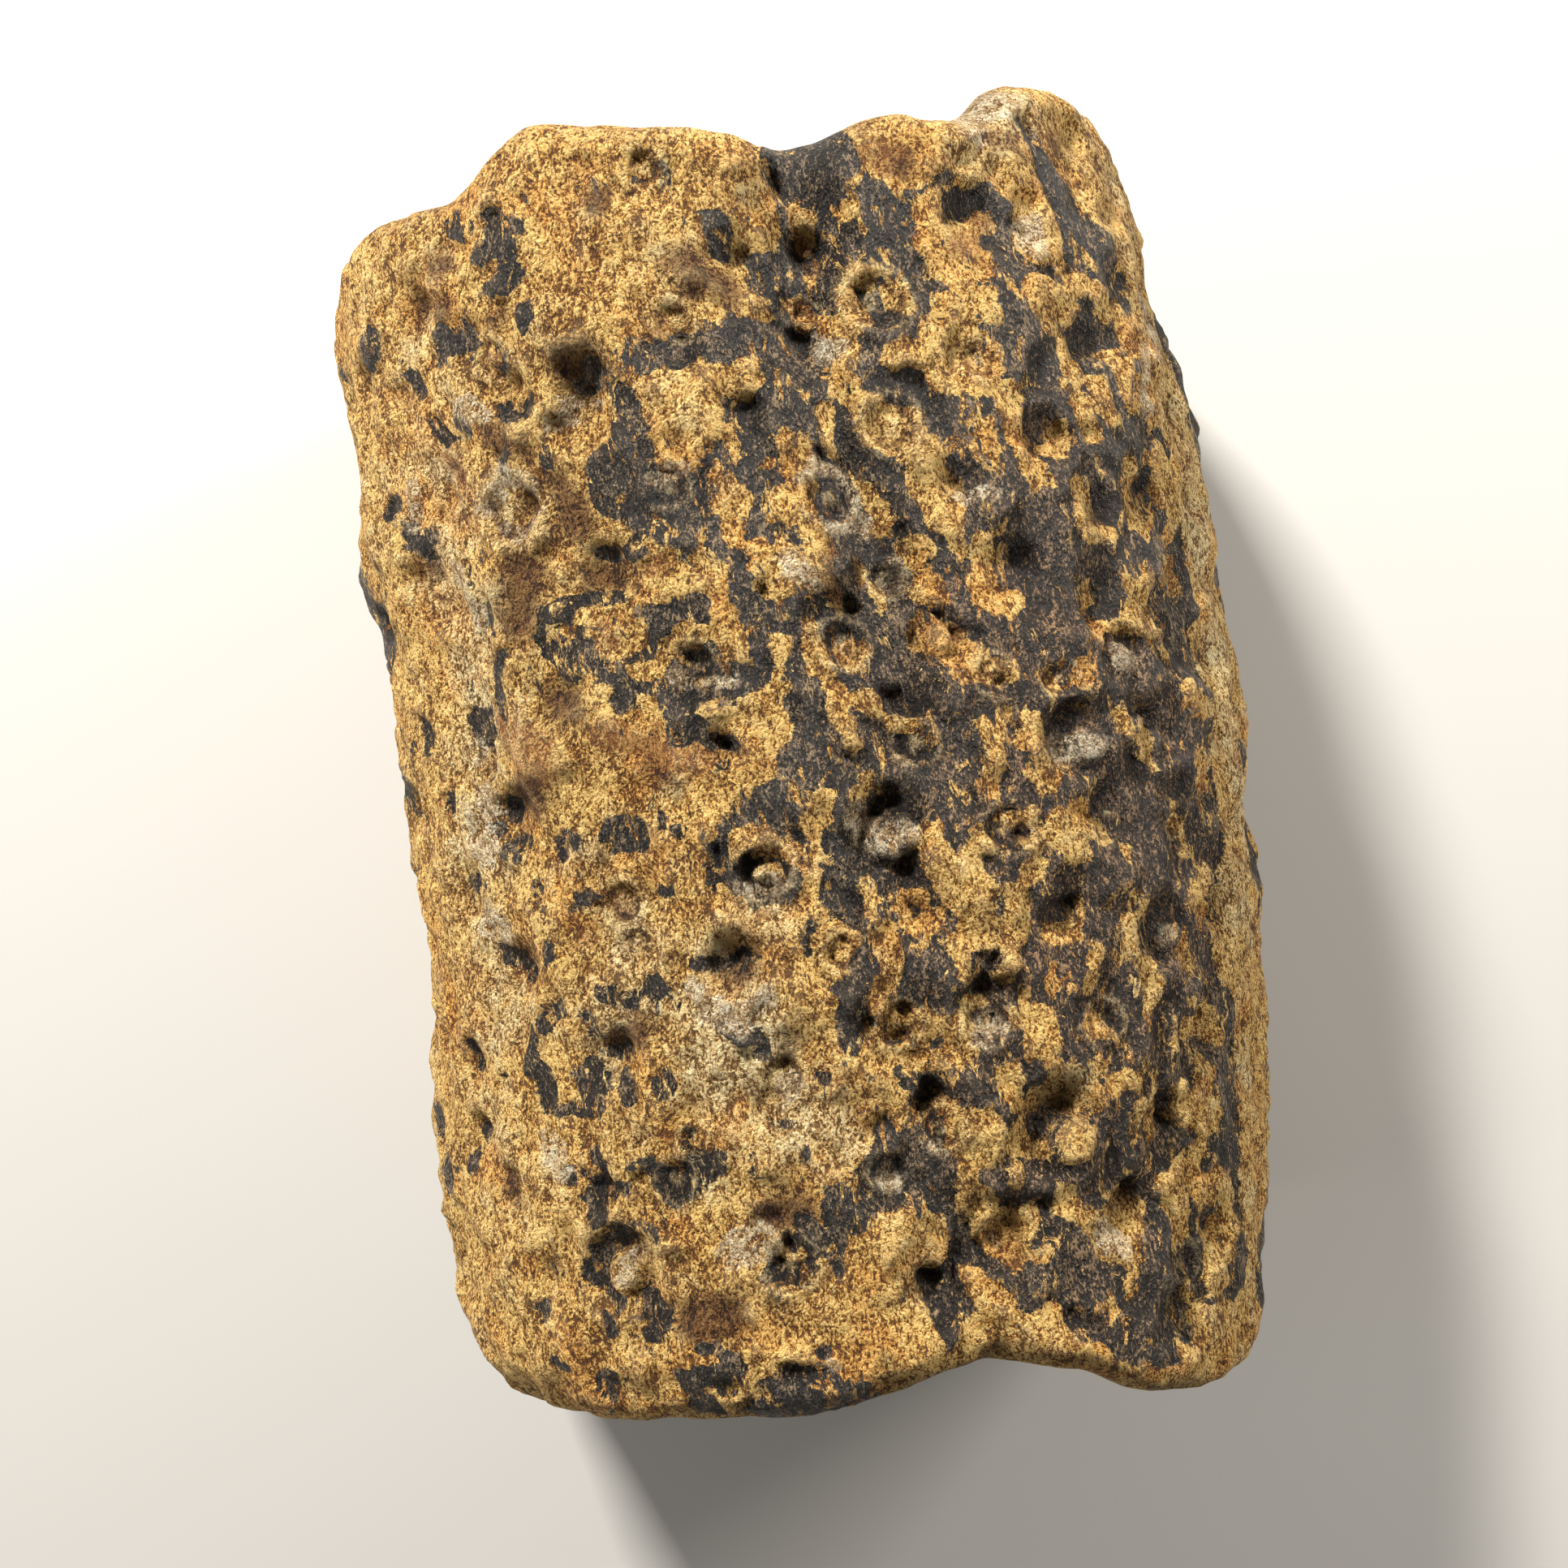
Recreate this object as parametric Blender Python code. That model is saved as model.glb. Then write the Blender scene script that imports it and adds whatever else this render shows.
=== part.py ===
"""Fossil stigmaria root: a broken length of a rootstock cast, as one solid piece of stone.

The root lies along Y on its worn underside, X runs across it and +Z is up. Its origin is the
middle of its footprint, on the surface that it rests on.

A place on its skin is given by two lengths: s, measured round the girth from the crest and
positive towards +X, and t, measured along Y. Lengths here are in millimetres, and MM turns
them into Blender's metres when the mesh is filled.
"""
import math

import bmesh
import bpy
import numpy as np

MM = 0.001

# The whole piece
LENGTH = 147.0
WIDTH = 108.0
HEIGHT = 66.0

# The girth: a bun shape, widest low down, with a broad crest and a worn, flat underside
WIDEST_HEIGHT = 20.0
UPPER_POWER = 2.15
LOWER_POWER = 3.0
WORN_OFF = 1.0
END_ROUNDING = 4.0

# The outline seen from above: how far each side stands out along the root (y, x), and
# where each broken end lies across it (x, y)
LEFT_SIDE = [
    (-74, -46.6), (-70, -49.6), (-64, -52.5), (-57, -52.4), (-43, -52.6), (-34, -51.4),
    (-10, -50.2), (12, -50.4), (24, -50.6), (36, -52.0), (48, -51.2), (60, -51.8),
    (68, -50.8), (74, -48.6),
]
RIGHT_SIDE = [
    (-74, 45.6), (-60, 47.9), (-48, 50.0), (-36, 50.9), (-24, 52.4), (-16, 53.4),
    (-10, 53.0), (-4, 54.2), (10, 54.2), (25, 53.6), (36, 53.2), (50, 51.0),
    (62, 49.2), (74, 45.6),
]
FAR_END = [
    (-54, 66.0), (-47, 68.8), (-42, 69.0), (-36, 68.0), (-31, 67.3), (-27, 69.1),
    (-21, 71.5), (-16, 70.5), (-8, 68.6), (0, 67.0), (6, 66.0), (10, 66.4), (18, 67.6),
    (22, 67.2), (27, 68.5), (31, 71.9), (35, 73.5), (40, 73.7), (46, 72.0), (54, 67.6),
]
NEAR_END = [
    (-54, -61.6), (-48, -65.8), (-42, -66.8), (-37, -66.0), (-27, -64.8), (-10, -64.4),
    (-1, -62.9), (8, -61.8), (16, -63.4), (20, -64.8), (25, -68.2), (30, -70.3),
    (36, -72.2), (41, -73.1), (54, -72.6),
]

# Low down, where the breaks are plainer, the same two ends run straighter
FAR_END_BELOW = [(-54, 64.0), (-20, 68.5), (20, 66.0), (54, 68.0)]
NEAR_END_BELOW = [(-54, -62.0), (-15, -66.5), (20, -65.0), (54, -69.5)]
PLAIN_BELOW = 6.0
CREST_SHAPE_ABOVE = 34.0

# The furrow along the crest: t, s, depth, half width
FURROW = [
    (-74, 11.5, 2.4, 5.0), (-60, 11.0, 1.8, 4.0), (-45, 9.0, 1.8, 3.5), (-30, 5.5, 1.3, 4.0),
    (-12, 3.5, 1.3, 4.0), (5, 6.0, 1.7, 4.0), (25, 8.0, 2.0, 4.5), (43, 5.5, 2.6, 5.0),
    (60, 8.0, 3.6, 6.0), (74, 9.0, 4.4, 6.5),
]

# Broad swells and sags: s, t, reach round the girth, reach along the root, height
SWELLS = [
    (-17, 57, 13, 13, 1.7), (-18, 48, 6, 5, 0.7), (-9, 41, 6, 6, 1.2), (-9, 20, 5, 6, 0.8),
    (27, 38, 12, 26, 0.9), (22, -8, 12, 26, 0.9), (-14, -8, 9, 26, 0.5), (-28, 7, 9, 6, 1.2),
    (-43, 22, 6, 28, -1.8), (-44, -14, 6, 16, -0.9), (-33, -27, 8, 8, -0.8),
    (28, -62, 10, 10, 0.8), (-38, -50, 12, 14, 0.7), (41, 62, 7, 9, -0.8),
    (-31, 66, 4, 6, -1.2), (0, -40, 8, 10, 0.4), (14, -47, 5, 5, -0.9),
]

# The ridge down the left shoulder: s, t of its bends
SHOULDER_RIDGE = [(-24, 42), (-32, 34), (-34, 18), (-32, 6)]
RIDGE_HEIGHT = 1.0
RIDGE_REACH = 3.0

# Soft hollows with no rim: s, t, radius, depth
HOLLOWS = [
    (-18.5, 44, 3.5, 1.6), (-27, 44, 4, 1.4), (-32, 60.5, 3, 0.9), (-28.5, 12.5, 4.5, 1.3),
    (-38.5, 19, 2.8, 1.0), (-48.5, 28.7, 2.5, 0.9), (-53, 38, 3.5, 0.9), (-36.5, 23.5, 3, 1.1),
    (-11.5, 4.6, 2.5, 1.3), (-14, 6.5, 2.5, 0.9), (9.5, 23.5, 2.2, 1.2), (4.6, -3.4, 3, 1.3),
    (6, -10, 3.5, 1.2), (28, -6, 2.6, 1.6), (22.5, -14.5, 4, 1.0), (42, -29.5, 2.4, 1.5),
    (-42.5, -39.8, 3.4, 1.2), (-7.8, -41.8, 4.5, 1.5), (-18, -52, 4.5, 0.8),
    (29.5, -47.5, 2.8, 1.7), (20, -57, 3.2, 0.9), (46, 68, 4, 1.4), (-18, -31, 2.6, 0.9),
    (-26, -24.3, 2.4, 1.3), (8, -33.8, 2.2, 1.2), (30.5, 12.8, 2.6, 1.0), (36.5, 2.6, 2.4, 1.3),
]

# Rootlet scars with a raised ring and a knob in the middle: s, t, ring radius
RINGED_SCARS = [
    (-7.5, 63.5, 2.2), (-28.5, 48.5, 2.4), (-38, 37.3, 3.2), (-29.5, 32.5, 4.0),
    (-8, 48, 2.2), (13.5, 48, 3.6), (6.3, 48, 1.8), (22.5, 40.5, 2.2), (12, 35, 3.3),
    (-12, 31.8, 2.6), (4.2, 28.4, 3.0), (8.4, 19.6, 2.2), (2.6, 13.4, 2.8),
    (-12.7, 13.6, 2.2), (-42.3, 7.2, 2.6), (17.5, 8.2, 2.5), (8.2, 2.6, 2.4),
    (-8.4, -8.2, 3.3), (16.8, -7.4, 2.9), (28.5, -9.0, 1.8), (-24.3, -9.5, 2.6),
    (-23.2, -13.6, 1.7), (-1.5, -17.3, 2.1), (13.4, -26.6, 2.8), (-8, -29.3, 2.8),
    (26.3, -28.8, 2.5), (-17.5, -34.3, 1.8), (8.8, -36.7, 2.4), (2.6, -39.8, 2.2),
    (-8, -47.8, 3.0), (39.5, -9.5, 2.0), (24.5, 7.0, 2.2), (41.5, 11.0, 2.4),
    (-20, -38.5, 2.4), (38, -57, 2.2), (-45, 27, 2.2), (4.3, -25.6, 2.6),
]

# Rootlet scars sunk like a cup, deepest under their upper edge: s, t, radius
CUPPED_SCARS = [
    (-19.7, 40, 3.4), (8.5, 54, 2.6), (0, 53.5, 1.8), (4.7, 44.5, 2.2), (-2.5, 37.8, 2.2),
    (26, 56, 3.6), (37, 42, 2.8), (17.5, 28.3, 2.6), (-37.5, 0.3, 3.8), (-20, 24.6, 2.8),
    (28.6, 32.4, 3.0), (33.7, 24.3, 2.9), (42.4, 25.6, 2.7), (22, 19.2, 3.0),
    (47.5, 17.3, 2.3), (50, 7.6, 2.4), (48.5, -2, 2.6), (-48, -6.5, 2.0), (-39.6, -15.8, 3.3),
    (7.7, -14.2, 2.3), (-12.6, -17.6, 3.4), (21.8, -17.8, 2.8), (46.5, -20.3, 2.8),
    (39.6, -6.6, 2.2), (42.2, -33.4, 3.0), (1.8, -36, 2.0), (34.4, -40.6, 3.0),
    (29.3, -49.4, 3.0), (5.9, -52.4, 2.3), (14.8, -49.4, 2.8), (-50, -34, 2.4),
    (-50.5, -27, 2.2), (42.5, -54.4, 2.0), (36.4, -61.2, 2.4), (-36.5, -48, 1.8),
    (30.8, 15.5, 1.8), (-37, 56.5, 1.8), (-28.3, -39.5, 2.0), (-9.5, -32, 1.8),
    (-27, -25.5, 2.0), (52, 36, 2.4), (53, -13, 2.4), (-53, 52, 2.4), (54, 26, 2.3),
]

# Large cups that keep a plug of the rootlet: s, t, radius, then the plug's shift and radius
PLUGGED_SCARS = [
    (4.2, -5.6, 4.6, 0.8, -1.6, 3.0), (25.2, 0.8, 3.9, 1.2, -0.8, 2.4),
    (34.9, -20.5, 3.8, 1.1, -0.9, 2.0), (20.4, -38.4, 4.8, 1.6, -1.6, 2.9),
    (-26.8, -47.2, 4.4, 0.0, -0.6, 2.4), (33.4, 8.5, 3.0, 0.0, 0.0, 2.0),
    (36.5, -0.4, 2.8, 0.0, -0.3, 1.5), (12.4, 12.8, 3.0, 0.0, 0.0, 1.8),
]

# Scars where the photo's view doesn't reach: cups in the same slanting rows round the root
HIDDEN_ROW_STEP = 11.0
HIDDEN_SCAR_STEP = 13.0
HIDDEN_FROM_S = 63.0
HIDDEN_ROWS = 4
HIDDEN_JITTER = 2.8
HIDDEN_RADII = (1.8, 2.9)
HIDDEN_ROW_STARTS = (0.1, 0.5)
CLEAR_OF_ENDS = 8.0

# How the scars stand out of the skin or into it, for each millimetre of their radius
RING_RISE = 0.26
RING_WIDTH = 0.35
RING_DIP = 0.30
KNOB_RISE = 0.24
KNOB_WIDTH = 0.40
CUP_DIP = 0.52
CUP_TILT = 0.55
CUP_REACH = 1.15
LIP_RISE = 0.14
LIP_PLACE = 1.25
LIP_WIDTH = 0.30
PLUG_RISE = 0.60
PLUG_FLAT = 0.6
PLUG_EDGE = 1.1

# The skin swells into low cushions between the scars: from and to so many radii away
CUSHION_RISE = 0.9
CUSHION_FROM = 1.0
CUSHION_TO = 2.3

# Uneven skin and rough ends: cell of the unevenness and its height
SKIN_ROUGHNESS = [(17.0, 0.75), (8.0, 0.5), (4.2, 0.28)]
END_ROUGHNESS = [(30.0, 1.8), (11.0, 0.9), (5.0, 0.35)]
END_BLEND_FROM = 0.72
FLAT_BELOW = 2.0
FULL_RELIEF_ABOVE = 9.0
SEED = 318
END_SEED = 368
LATTICE_SIZE = 16

# Mesh: columns round the girth, rows over each end, round each rim and along the side
COLUMNS = 150
END_ROWS = 12
RIM_ROWS = 4
SIDE_ROWS = 96
DENSE_HALF_GIRTH = 78.0
DENSE_SHARE = 0.37
GIRTH_STEPS = 1800
TRIANGLES = 9700

STONE_COLOUR = (0.34, 0.22, 0.10, 1.0)
STONE_ROUGHNESS = 0.86


def curve(points, at):
    """A smooth line through points, read at the places asked for."""
    known = np.array(points, dtype=float)
    slope = np.gradient(known[:, 1], known[:, 0])
    at = np.clip(at, known[0, 0], known[-1, 0])
    left = np.clip(np.searchsorted(known[:, 0], at) - 1, 0, len(known) - 2)
    gap = known[left + 1, 0] - known[left, 0]
    u = (at - known[left, 0]) / gap
    return (
        (2 * u**3 - 3 * u**2 + 1) * known[left, 1]
        + (u**3 - 2 * u**2 + u) * gap * slope[left]
        + (3 * u**2 - 2 * u**3) * known[left + 1, 1]
        + (u**3 - u**2) * gap * slope[left + 1]
    )


def ease(value, low, high):
    """0 below low, 1 above high and a smooth step between them."""
    u = np.clip((value - low) / (high - low), 0.0, 1.0)
    return u * u * (3 - 2 * u)


def lattice_noise(points, cell, seed):
    """Smooth random heights between -1 and 1 with one random value at each lattice corner."""
    size = LATTICE_SIZE
    values = np.random.default_rng(seed).uniform(-1.0, 1.0, (size, size, size))
    place = points / cell
    corner = np.floor(place).astype(int)
    u = place - corner
    u = u * u * (3 - 2 * u)
    total = np.zeros(len(points))
    for step in np.ndindex(2, 2, 2):
        weight = np.prod(np.where(np.array(step) == 1, u, 1 - u), axis=1)
        total += weight * values[tuple(((corner + step) % size).T)]
    return total


def section_radius(turn, half_width):
    """How far the skin is from the middle of the girth, at an angle from the crest."""
    across, up = np.abs(np.sin(turn)), np.cos(turn)
    rise, drop = HEIGHT - WIDEST_HEIGHT, WIDEST_HEIGHT + WORN_OFF
    upper = (across / half_width) ** UPPER_POWER + (np.abs(up) / rise) ** UPPER_POWER
    lower = (across / half_width) ** LOWER_POWER + (np.abs(up) / drop) ** LOWER_POWER
    return np.where(up >= 0, upper ** (-1 / UPPER_POWER), lower ** (-1 / LOWER_POWER))


def girth_scale():
    """Angles from the crest, and the length s of the skin up to each of them."""
    turn = np.linspace(-math.pi, math.pi, 2 * GIRTH_STEPS + 1)
    radius = section_radius(turn, WIDTH / 2)
    x, z = radius * np.sin(turn), radius * np.cos(turn)
    s = np.concatenate([[0.0], np.cumsum(np.hypot(np.diff(x), np.diff(z)))])
    return turn, s - s[GIRTH_STEPS]


def end_line(crest_line, low_line, x, z):
    """Where a broken end lies: its crest outline high up, easing into a plainer one below."""
    share = ease(z, PLAIN_BELOW, CREST_SHAPE_ABOVE)
    return share * curve(crest_line, x) + (1 - share) * curve(low_line, x)


def skin_points(turn, along, reach):
    """Points of the plain form.

    along runs from 1 at the far end to -1 at the near end, and reach from 0 in the middle
    of an end to 1 on its rim.
    """
    y_plain = along * LENGTH / 2
    left, right = curve(LEFT_SIDE, y_plain), curve(RIGHT_SIDE, y_plain)
    middle, half_width = (left + right) / 2, (right - left) / 2
    radius = section_radius(turn, half_width)
    x_plain = middle + reach * radius * np.sin(turn)
    z_plain = WIDEST_HEIGHT + reach * radius * np.cos(turn)
    far = end_line(FAR_END, FAR_END_BELOW, x_plain, z_plain)
    near = end_line(NEAR_END, NEAR_END_BELOW, x_plain, z_plain)
    y = np.where(along >= 0, along * far, -along * near)
    from_end = np.minimum((1 - np.abs(along)) * LENGTH / 2, END_ROUNDING)
    inset = END_ROUNDING - np.sqrt(END_ROUNDING**2 - (END_ROUNDING - from_end) ** 2)
    radius = reach * (radius - inset)
    x = middle + radius * np.sin(turn)
    z = WIDEST_HEIGHT + radius * np.cos(turn)
    return np.stack([x, y, z], axis=1)


def furrow_height(s, t):
    """The furrow's depth: a bell-shaped dip that wanders along the crest."""
    line = [(row[0], row[1]) for row in FURROW]
    depth = curve([(row[0], row[2]) for row in FURROW], t)
    reach = curve([(row[0], row[3]) for row in FURROW], t)
    return -depth * np.exp(-(((s - curve(line, t)) / reach) ** 2))


def swell_height(s, t):
    """Broad swells and sags, each a bell shape."""
    height = np.zeros(len(s))
    for s0, t0, s_reach, t_reach, rise in SWELLS:
        height += rise * np.exp(-(((s - s0) / s_reach) ** 2) - ((t - t0) / t_reach) ** 2)
    return height


def ridge_height(s, t):
    """The shoulder's ridge: a bell shape across the nearest of its straight runs."""
    nearest = np.full(len(s), np.inf)
    for (s0, t0), (s1, t1) in zip(SHOULDER_RIDGE, SHOULDER_RIDGE[1:]):
        run_s, run_t = s1 - s0, t1 - t0
        u = np.clip(((s - s0) * run_s + (t - t0) * run_t) / (run_s**2 + run_t**2), 0, 1)
        nearest = np.minimum(nearest, np.hypot(s - s0 - u * run_s, t - t0 - u * run_t))
    return RIDGE_HEIGHT * np.exp(-((nearest / RIDGE_REACH) ** 2))


def bowl(distance, radius):
    """1 in the middle of a round hollow, falling smoothly to 0 at its edge."""
    return np.clip(1 - (distance / radius) ** 2, 0.0, 1.0) ** 1.5


def hollow_height(s, t):
    """Soft hollows with no rim."""
    height = np.zeros(len(s))
    for s0, t0, radius, depth in HOLLOWS:
        height -= depth * bowl(np.hypot(s - s0, t - t0), radius)
    return height


def ringed_scar_height(s, t, scars):
    """A raised ring round a dip, with a knob in the middle of it."""
    height = np.zeros(len(s))
    for s0, t0, radius in scars:
        away = np.hypot(s - s0, t - t0) / radius
        height += RING_RISE * radius * np.exp(-(((away - 1) / RING_WIDTH) ** 2))
        height -= RING_DIP * radius * bowl(away, 1.0)
        height += KNOB_RISE * radius * np.exp(-((away / KNOB_WIDTH) ** 2))
    return height


def cup_height(s, t, s0, t0, radius):
    """A cup that is deepest under its upper edge, with a low lip round it."""
    away = np.hypot(s - s0, t - t0) / radius
    tilt = 1 + CUP_TILT * np.clip((t - t0) / radius, -1, 1)
    cup = -CUP_DIP * radius * tilt * bowl(away, CUP_REACH)
    return cup + LIP_RISE * radius * np.exp(-(((away - LIP_PLACE) / LIP_WIDTH) ** 2))


def cupped_scar_height(s, t, scars):
    """Scars sunk like a cup."""
    height = np.zeros(len(s))
    for s0, t0, radius in scars:
        height += cup_height(s, t, s0, t0, radius)
    return height


def plugged_scar_height(s, t):
    """Large cups with the stump of the rootlet left in them."""
    height = np.zeros(len(s))
    for s0, t0, radius, plug_s, plug_t, plug_radius in PLUGGED_SCARS:
        height += cup_height(s, t, s0, t0, radius)
        away = np.hypot(s - s0 - plug_s, t - t0 - plug_t) / plug_radius
        height += PLUG_RISE * plug_radius * (1 - ease(away, PLUG_FLAT, PLUG_EDGE))
    return height


def hidden_scars():
    """Scars of the lower flanks, in rows that step by half a space, none quite in line."""
    rng = np.random.default_rng(SEED)
    scars = []
    reach = LENGTH / 2 - CLEAR_OF_ENDS
    for row in range(HIDDEN_ROWS):
        start = -reach + HIDDEN_SCAR_STEP * HIDDEN_ROW_STARTS[row % 2]
        for t in np.arange(start, reach, HIDDEN_SCAR_STEP):
            for side in (-1, 1):
                s = side * (HIDDEN_FROM_S + row * HIDDEN_ROW_STEP)
                shift = rng.uniform(-HIDDEN_JITTER, HIDDEN_JITTER, 2)
                scars.append((s + shift[0], t + shift[1], rng.uniform(*HIDDEN_RADII)))
    return scars


def cushion_height(s, t, scars):
    """The skin between the scars, which rises away from each of them."""
    nearest = np.full(len(s), np.inf)
    for s0, t0, radius in scars:
        nearest = np.minimum(nearest, np.hypot(s - s0, t - t0) / radius)
    return CUSHION_RISE * ease(nearest, CUSHION_FROM, CUSHION_TO)


def relief(s, t, reach, points):
    """How far the surface stands out from the plain form, in millimetres.

    The first height is the skin's, away from the middle of the girth, and the second is the
    broken ends', along the root.
    """
    cups = CUPPED_SCARS + hidden_scars()
    plugged = [row[:3] for row in PLUGGED_SCARS]
    skin = furrow_height(s, t) + swell_height(s, t) + ridge_height(s, t) + hollow_height(s, t)
    skin += cushion_height(s, t, RINGED_SCARS + cups + plugged)
    skin += ringed_scar_height(s, t, RINGED_SCARS) + cupped_scar_height(s, t, cups)
    skin += plugged_scar_height(s, t)
    for seed, (cell, height) in enumerate(SKIN_ROUGHNESS):
        skin += height * lattice_noise(points, cell, SEED + seed)
    end = np.zeros(len(s))
    for seed, (cell, height) in enumerate(END_ROUGHNESS):
        end += height * lattice_noise(points, cell, END_SEED + seed)
    rim = ease(reach, END_BLEND_FROM, 1.0)
    share = ease(points[:, 2], FLAT_BELOW, FULL_RELIEF_ABOVE)
    return share * rim * skin, share * (1 - rim) * end


def column_angle(share, turn_scale, s_scale):
    """The angle of a column, with most of the columns over the crest and the flanks."""
    half_girth = s_scale[-1]
    s = np.interp(np.abs(share), [0.0, DENSE_SHARE, 0.5], [0.0, DENSE_HALF_GIRTH, half_girth])
    return np.interp(np.sign(share) * s, s_scale, turn_scale), np.sign(share) * s


def fit_to_size(points):
    """The points moved and scaled a little, so the piece measures just what it should."""
    low, high = points.min(axis=0), points.max(axis=0)
    size = np.array([WIDTH, LENGTH, HEIGHT])
    middle = (low + high) / 2
    middle[2] = low[2]
    return (points - middle) * size / (high - low)


def root_mesh():
    """A ball whose poles are the two ends, drawn out to the form and roughened."""
    shape = bmesh.new()
    rows = SIDE_ROWS + 2 * END_ROWS
    bmesh.ops.create_uvsphere(shape, u_segments=COLUMNS, v_segments=rows, radius=1.0)
    ball = np.array([vertex.co for vertex in shape.verts])
    row = np.rint(np.arccos(np.clip(ball[:, 2], -1, 1)) / math.pi * rows)
    share = np.arctan2(ball[:, 1], ball[:, 0]) / (2 * math.pi)
    turn, s = column_angle(share, *girth_scale())

    rim = 1 - 2 * END_ROUNDING / LENGTH
    row_marks = [END_ROWS, END_ROWS + RIM_ROWS, rows - END_ROWS - RIM_ROWS, rows - END_ROWS]
    along = np.interp(row, row_marks, [1.0, rim, -rim, -1.0])
    reach = np.minimum(np.minimum(row, rows - row) / END_ROWS, 1.0)

    points = skin_points(turn, along, reach)
    skin, end = relief(s, points[:, 1], reach, points)
    points += np.stack([skin * np.sin(turn), end * np.sign(along), skin * np.cos(turn)], axis=1)
    points[:, 2] = np.maximum(points[:, 2], 0.0)
    points = fit_to_size(points)
    for vertex, point in zip(shape.verts, points):
        vertex.co = point * MM
    mesh = bpy.data.meshes.new("stigmaria_root_cast")
    shape.to_mesh(mesh)
    shape.free()
    mesh.shade_smooth()
    return mesh


def stone_material():
    """Ochre to brown stone with a dull surface."""
    material = bpy.data.materials.new("ochre_stone")
    material.use_nodes = True
    shader = material.node_tree.nodes["Principled BSDF"]
    shader.inputs["Base Color"].default_value = STONE_COLOUR
    shader.inputs["Roughness"].default_value = STONE_ROUGHNESS
    shader.inputs["Metallic"].default_value = 0.0
    return material


def build_root(collection):
    """The one piece, thinned to a count of faces that keeps its scars and ridges."""
    mesh = root_mesh()
    root = bpy.data.objects.new("stigmaria_root_cast", mesh)
    collection.objects.link(root)
    mesh.materials.append(stone_material())
    triangles = sum(len(face.vertices) - 2 for face in mesh.polygons)
    thinning = root.modifiers.new("fewer_faces", "DECIMATE")
    thinning.decimate_type = "COLLAPSE"
    thinning.ratio = TRIANGLES / triangles
    thinning.use_collapse_triangulate = True
    return root


def main():
    """Empties the scene and builds the root in a collection of its own."""
    for item in list(bpy.data.objects):
        bpy.data.objects.remove(item, do_unlink=True)
    collection = bpy.data.collections.new("fossil_stigmaria_root")
    bpy.context.scene.collection.children.link(collection)
    build_root(collection)


main()
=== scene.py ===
"""The look of a fossil stigmaria root: a broken length of a rootstock cast in ochre stone.

The root lies along Y on its worn underside, with its crest up. A place on its skin is given
by two lengths in millimetres: s, measured round the girth from the crest and positive towards
+X, and t, measured along Y. Charcoal skin clings to the cast in patches, ochre crust shows
between them, and rootlet scars are set all over it in slanting rows.
"""

import logging
import math
from dataclasses import dataclass, field
from enum import Enum

import bpy
import numpy as np
from mathutils import Matrix, Vector


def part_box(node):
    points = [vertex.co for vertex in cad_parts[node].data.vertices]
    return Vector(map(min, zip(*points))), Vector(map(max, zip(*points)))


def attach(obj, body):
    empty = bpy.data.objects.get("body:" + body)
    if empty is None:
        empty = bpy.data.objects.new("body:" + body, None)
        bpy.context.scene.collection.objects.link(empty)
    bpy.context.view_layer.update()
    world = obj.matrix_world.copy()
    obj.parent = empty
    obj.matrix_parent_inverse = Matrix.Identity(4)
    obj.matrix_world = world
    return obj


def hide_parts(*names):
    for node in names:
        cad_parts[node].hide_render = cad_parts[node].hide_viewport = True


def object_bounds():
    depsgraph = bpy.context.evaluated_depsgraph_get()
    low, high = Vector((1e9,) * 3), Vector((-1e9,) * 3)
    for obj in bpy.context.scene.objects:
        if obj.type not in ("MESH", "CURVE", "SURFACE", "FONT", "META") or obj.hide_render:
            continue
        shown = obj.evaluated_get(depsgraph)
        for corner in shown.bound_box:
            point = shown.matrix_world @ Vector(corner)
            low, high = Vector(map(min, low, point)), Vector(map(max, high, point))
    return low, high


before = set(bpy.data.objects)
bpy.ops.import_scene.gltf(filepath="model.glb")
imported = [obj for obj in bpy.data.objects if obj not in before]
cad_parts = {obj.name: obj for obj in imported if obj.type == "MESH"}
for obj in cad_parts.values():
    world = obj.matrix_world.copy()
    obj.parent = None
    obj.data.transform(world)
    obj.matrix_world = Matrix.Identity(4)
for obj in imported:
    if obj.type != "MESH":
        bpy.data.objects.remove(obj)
CAD_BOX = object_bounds()

MM = 0.001
LOG = logging.getLogger("stigmaria_root")
NODE = "stigmaria_root_cast"
LATTICE_SIZE = 16

Pair = tuple[float, float]
Triple = tuple[float, float, float]
Quad = tuple[float, float, float, float]
Colour = Quad
Points = tuple[Pair, ...]


def curve(points: Points, at: np.ndarray) -> np.ndarray:
    """A smooth line through points, read at the places asked for.

    Each stretch is a cubic whose slopes at its ends are the mean slopes of its neighbours.

    Args:
        points: places and values, in rising order of place.
        at: where to read the line.

    Returns:
        The line's value at each place.
    """
    known = np.array(points, dtype=float)
    slope = np.gradient(known[:, 1], known[:, 0])
    at = np.clip(at, known[0, 0], known[-1, 0])
    left = np.clip(np.searchsorted(known[:, 0], at) - 1, 0, len(known) - 2)
    gap = known[left + 1, 0] - known[left, 0]
    u = (at - known[left, 0]) / gap
    return (
        (2 * u**3 - 3 * u**2 + 1) * known[left, 1]
        + (u**3 - 2 * u**2 + u) * gap * slope[left]
        + (3 * u**2 - 2 * u**3) * known[left + 1, 1]
        + (u**3 - u**2) * gap * slope[left + 1]
    )


def ease(value: np.ndarray, low: float, high: float) -> np.ndarray:
    """0 below low, 1 above high and 3u^2 - 2u^3 between them."""
    u = np.clip((value - low) / (high - low), 0.0, 1.0)
    return u * u * (3 - 2 * u)


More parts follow.
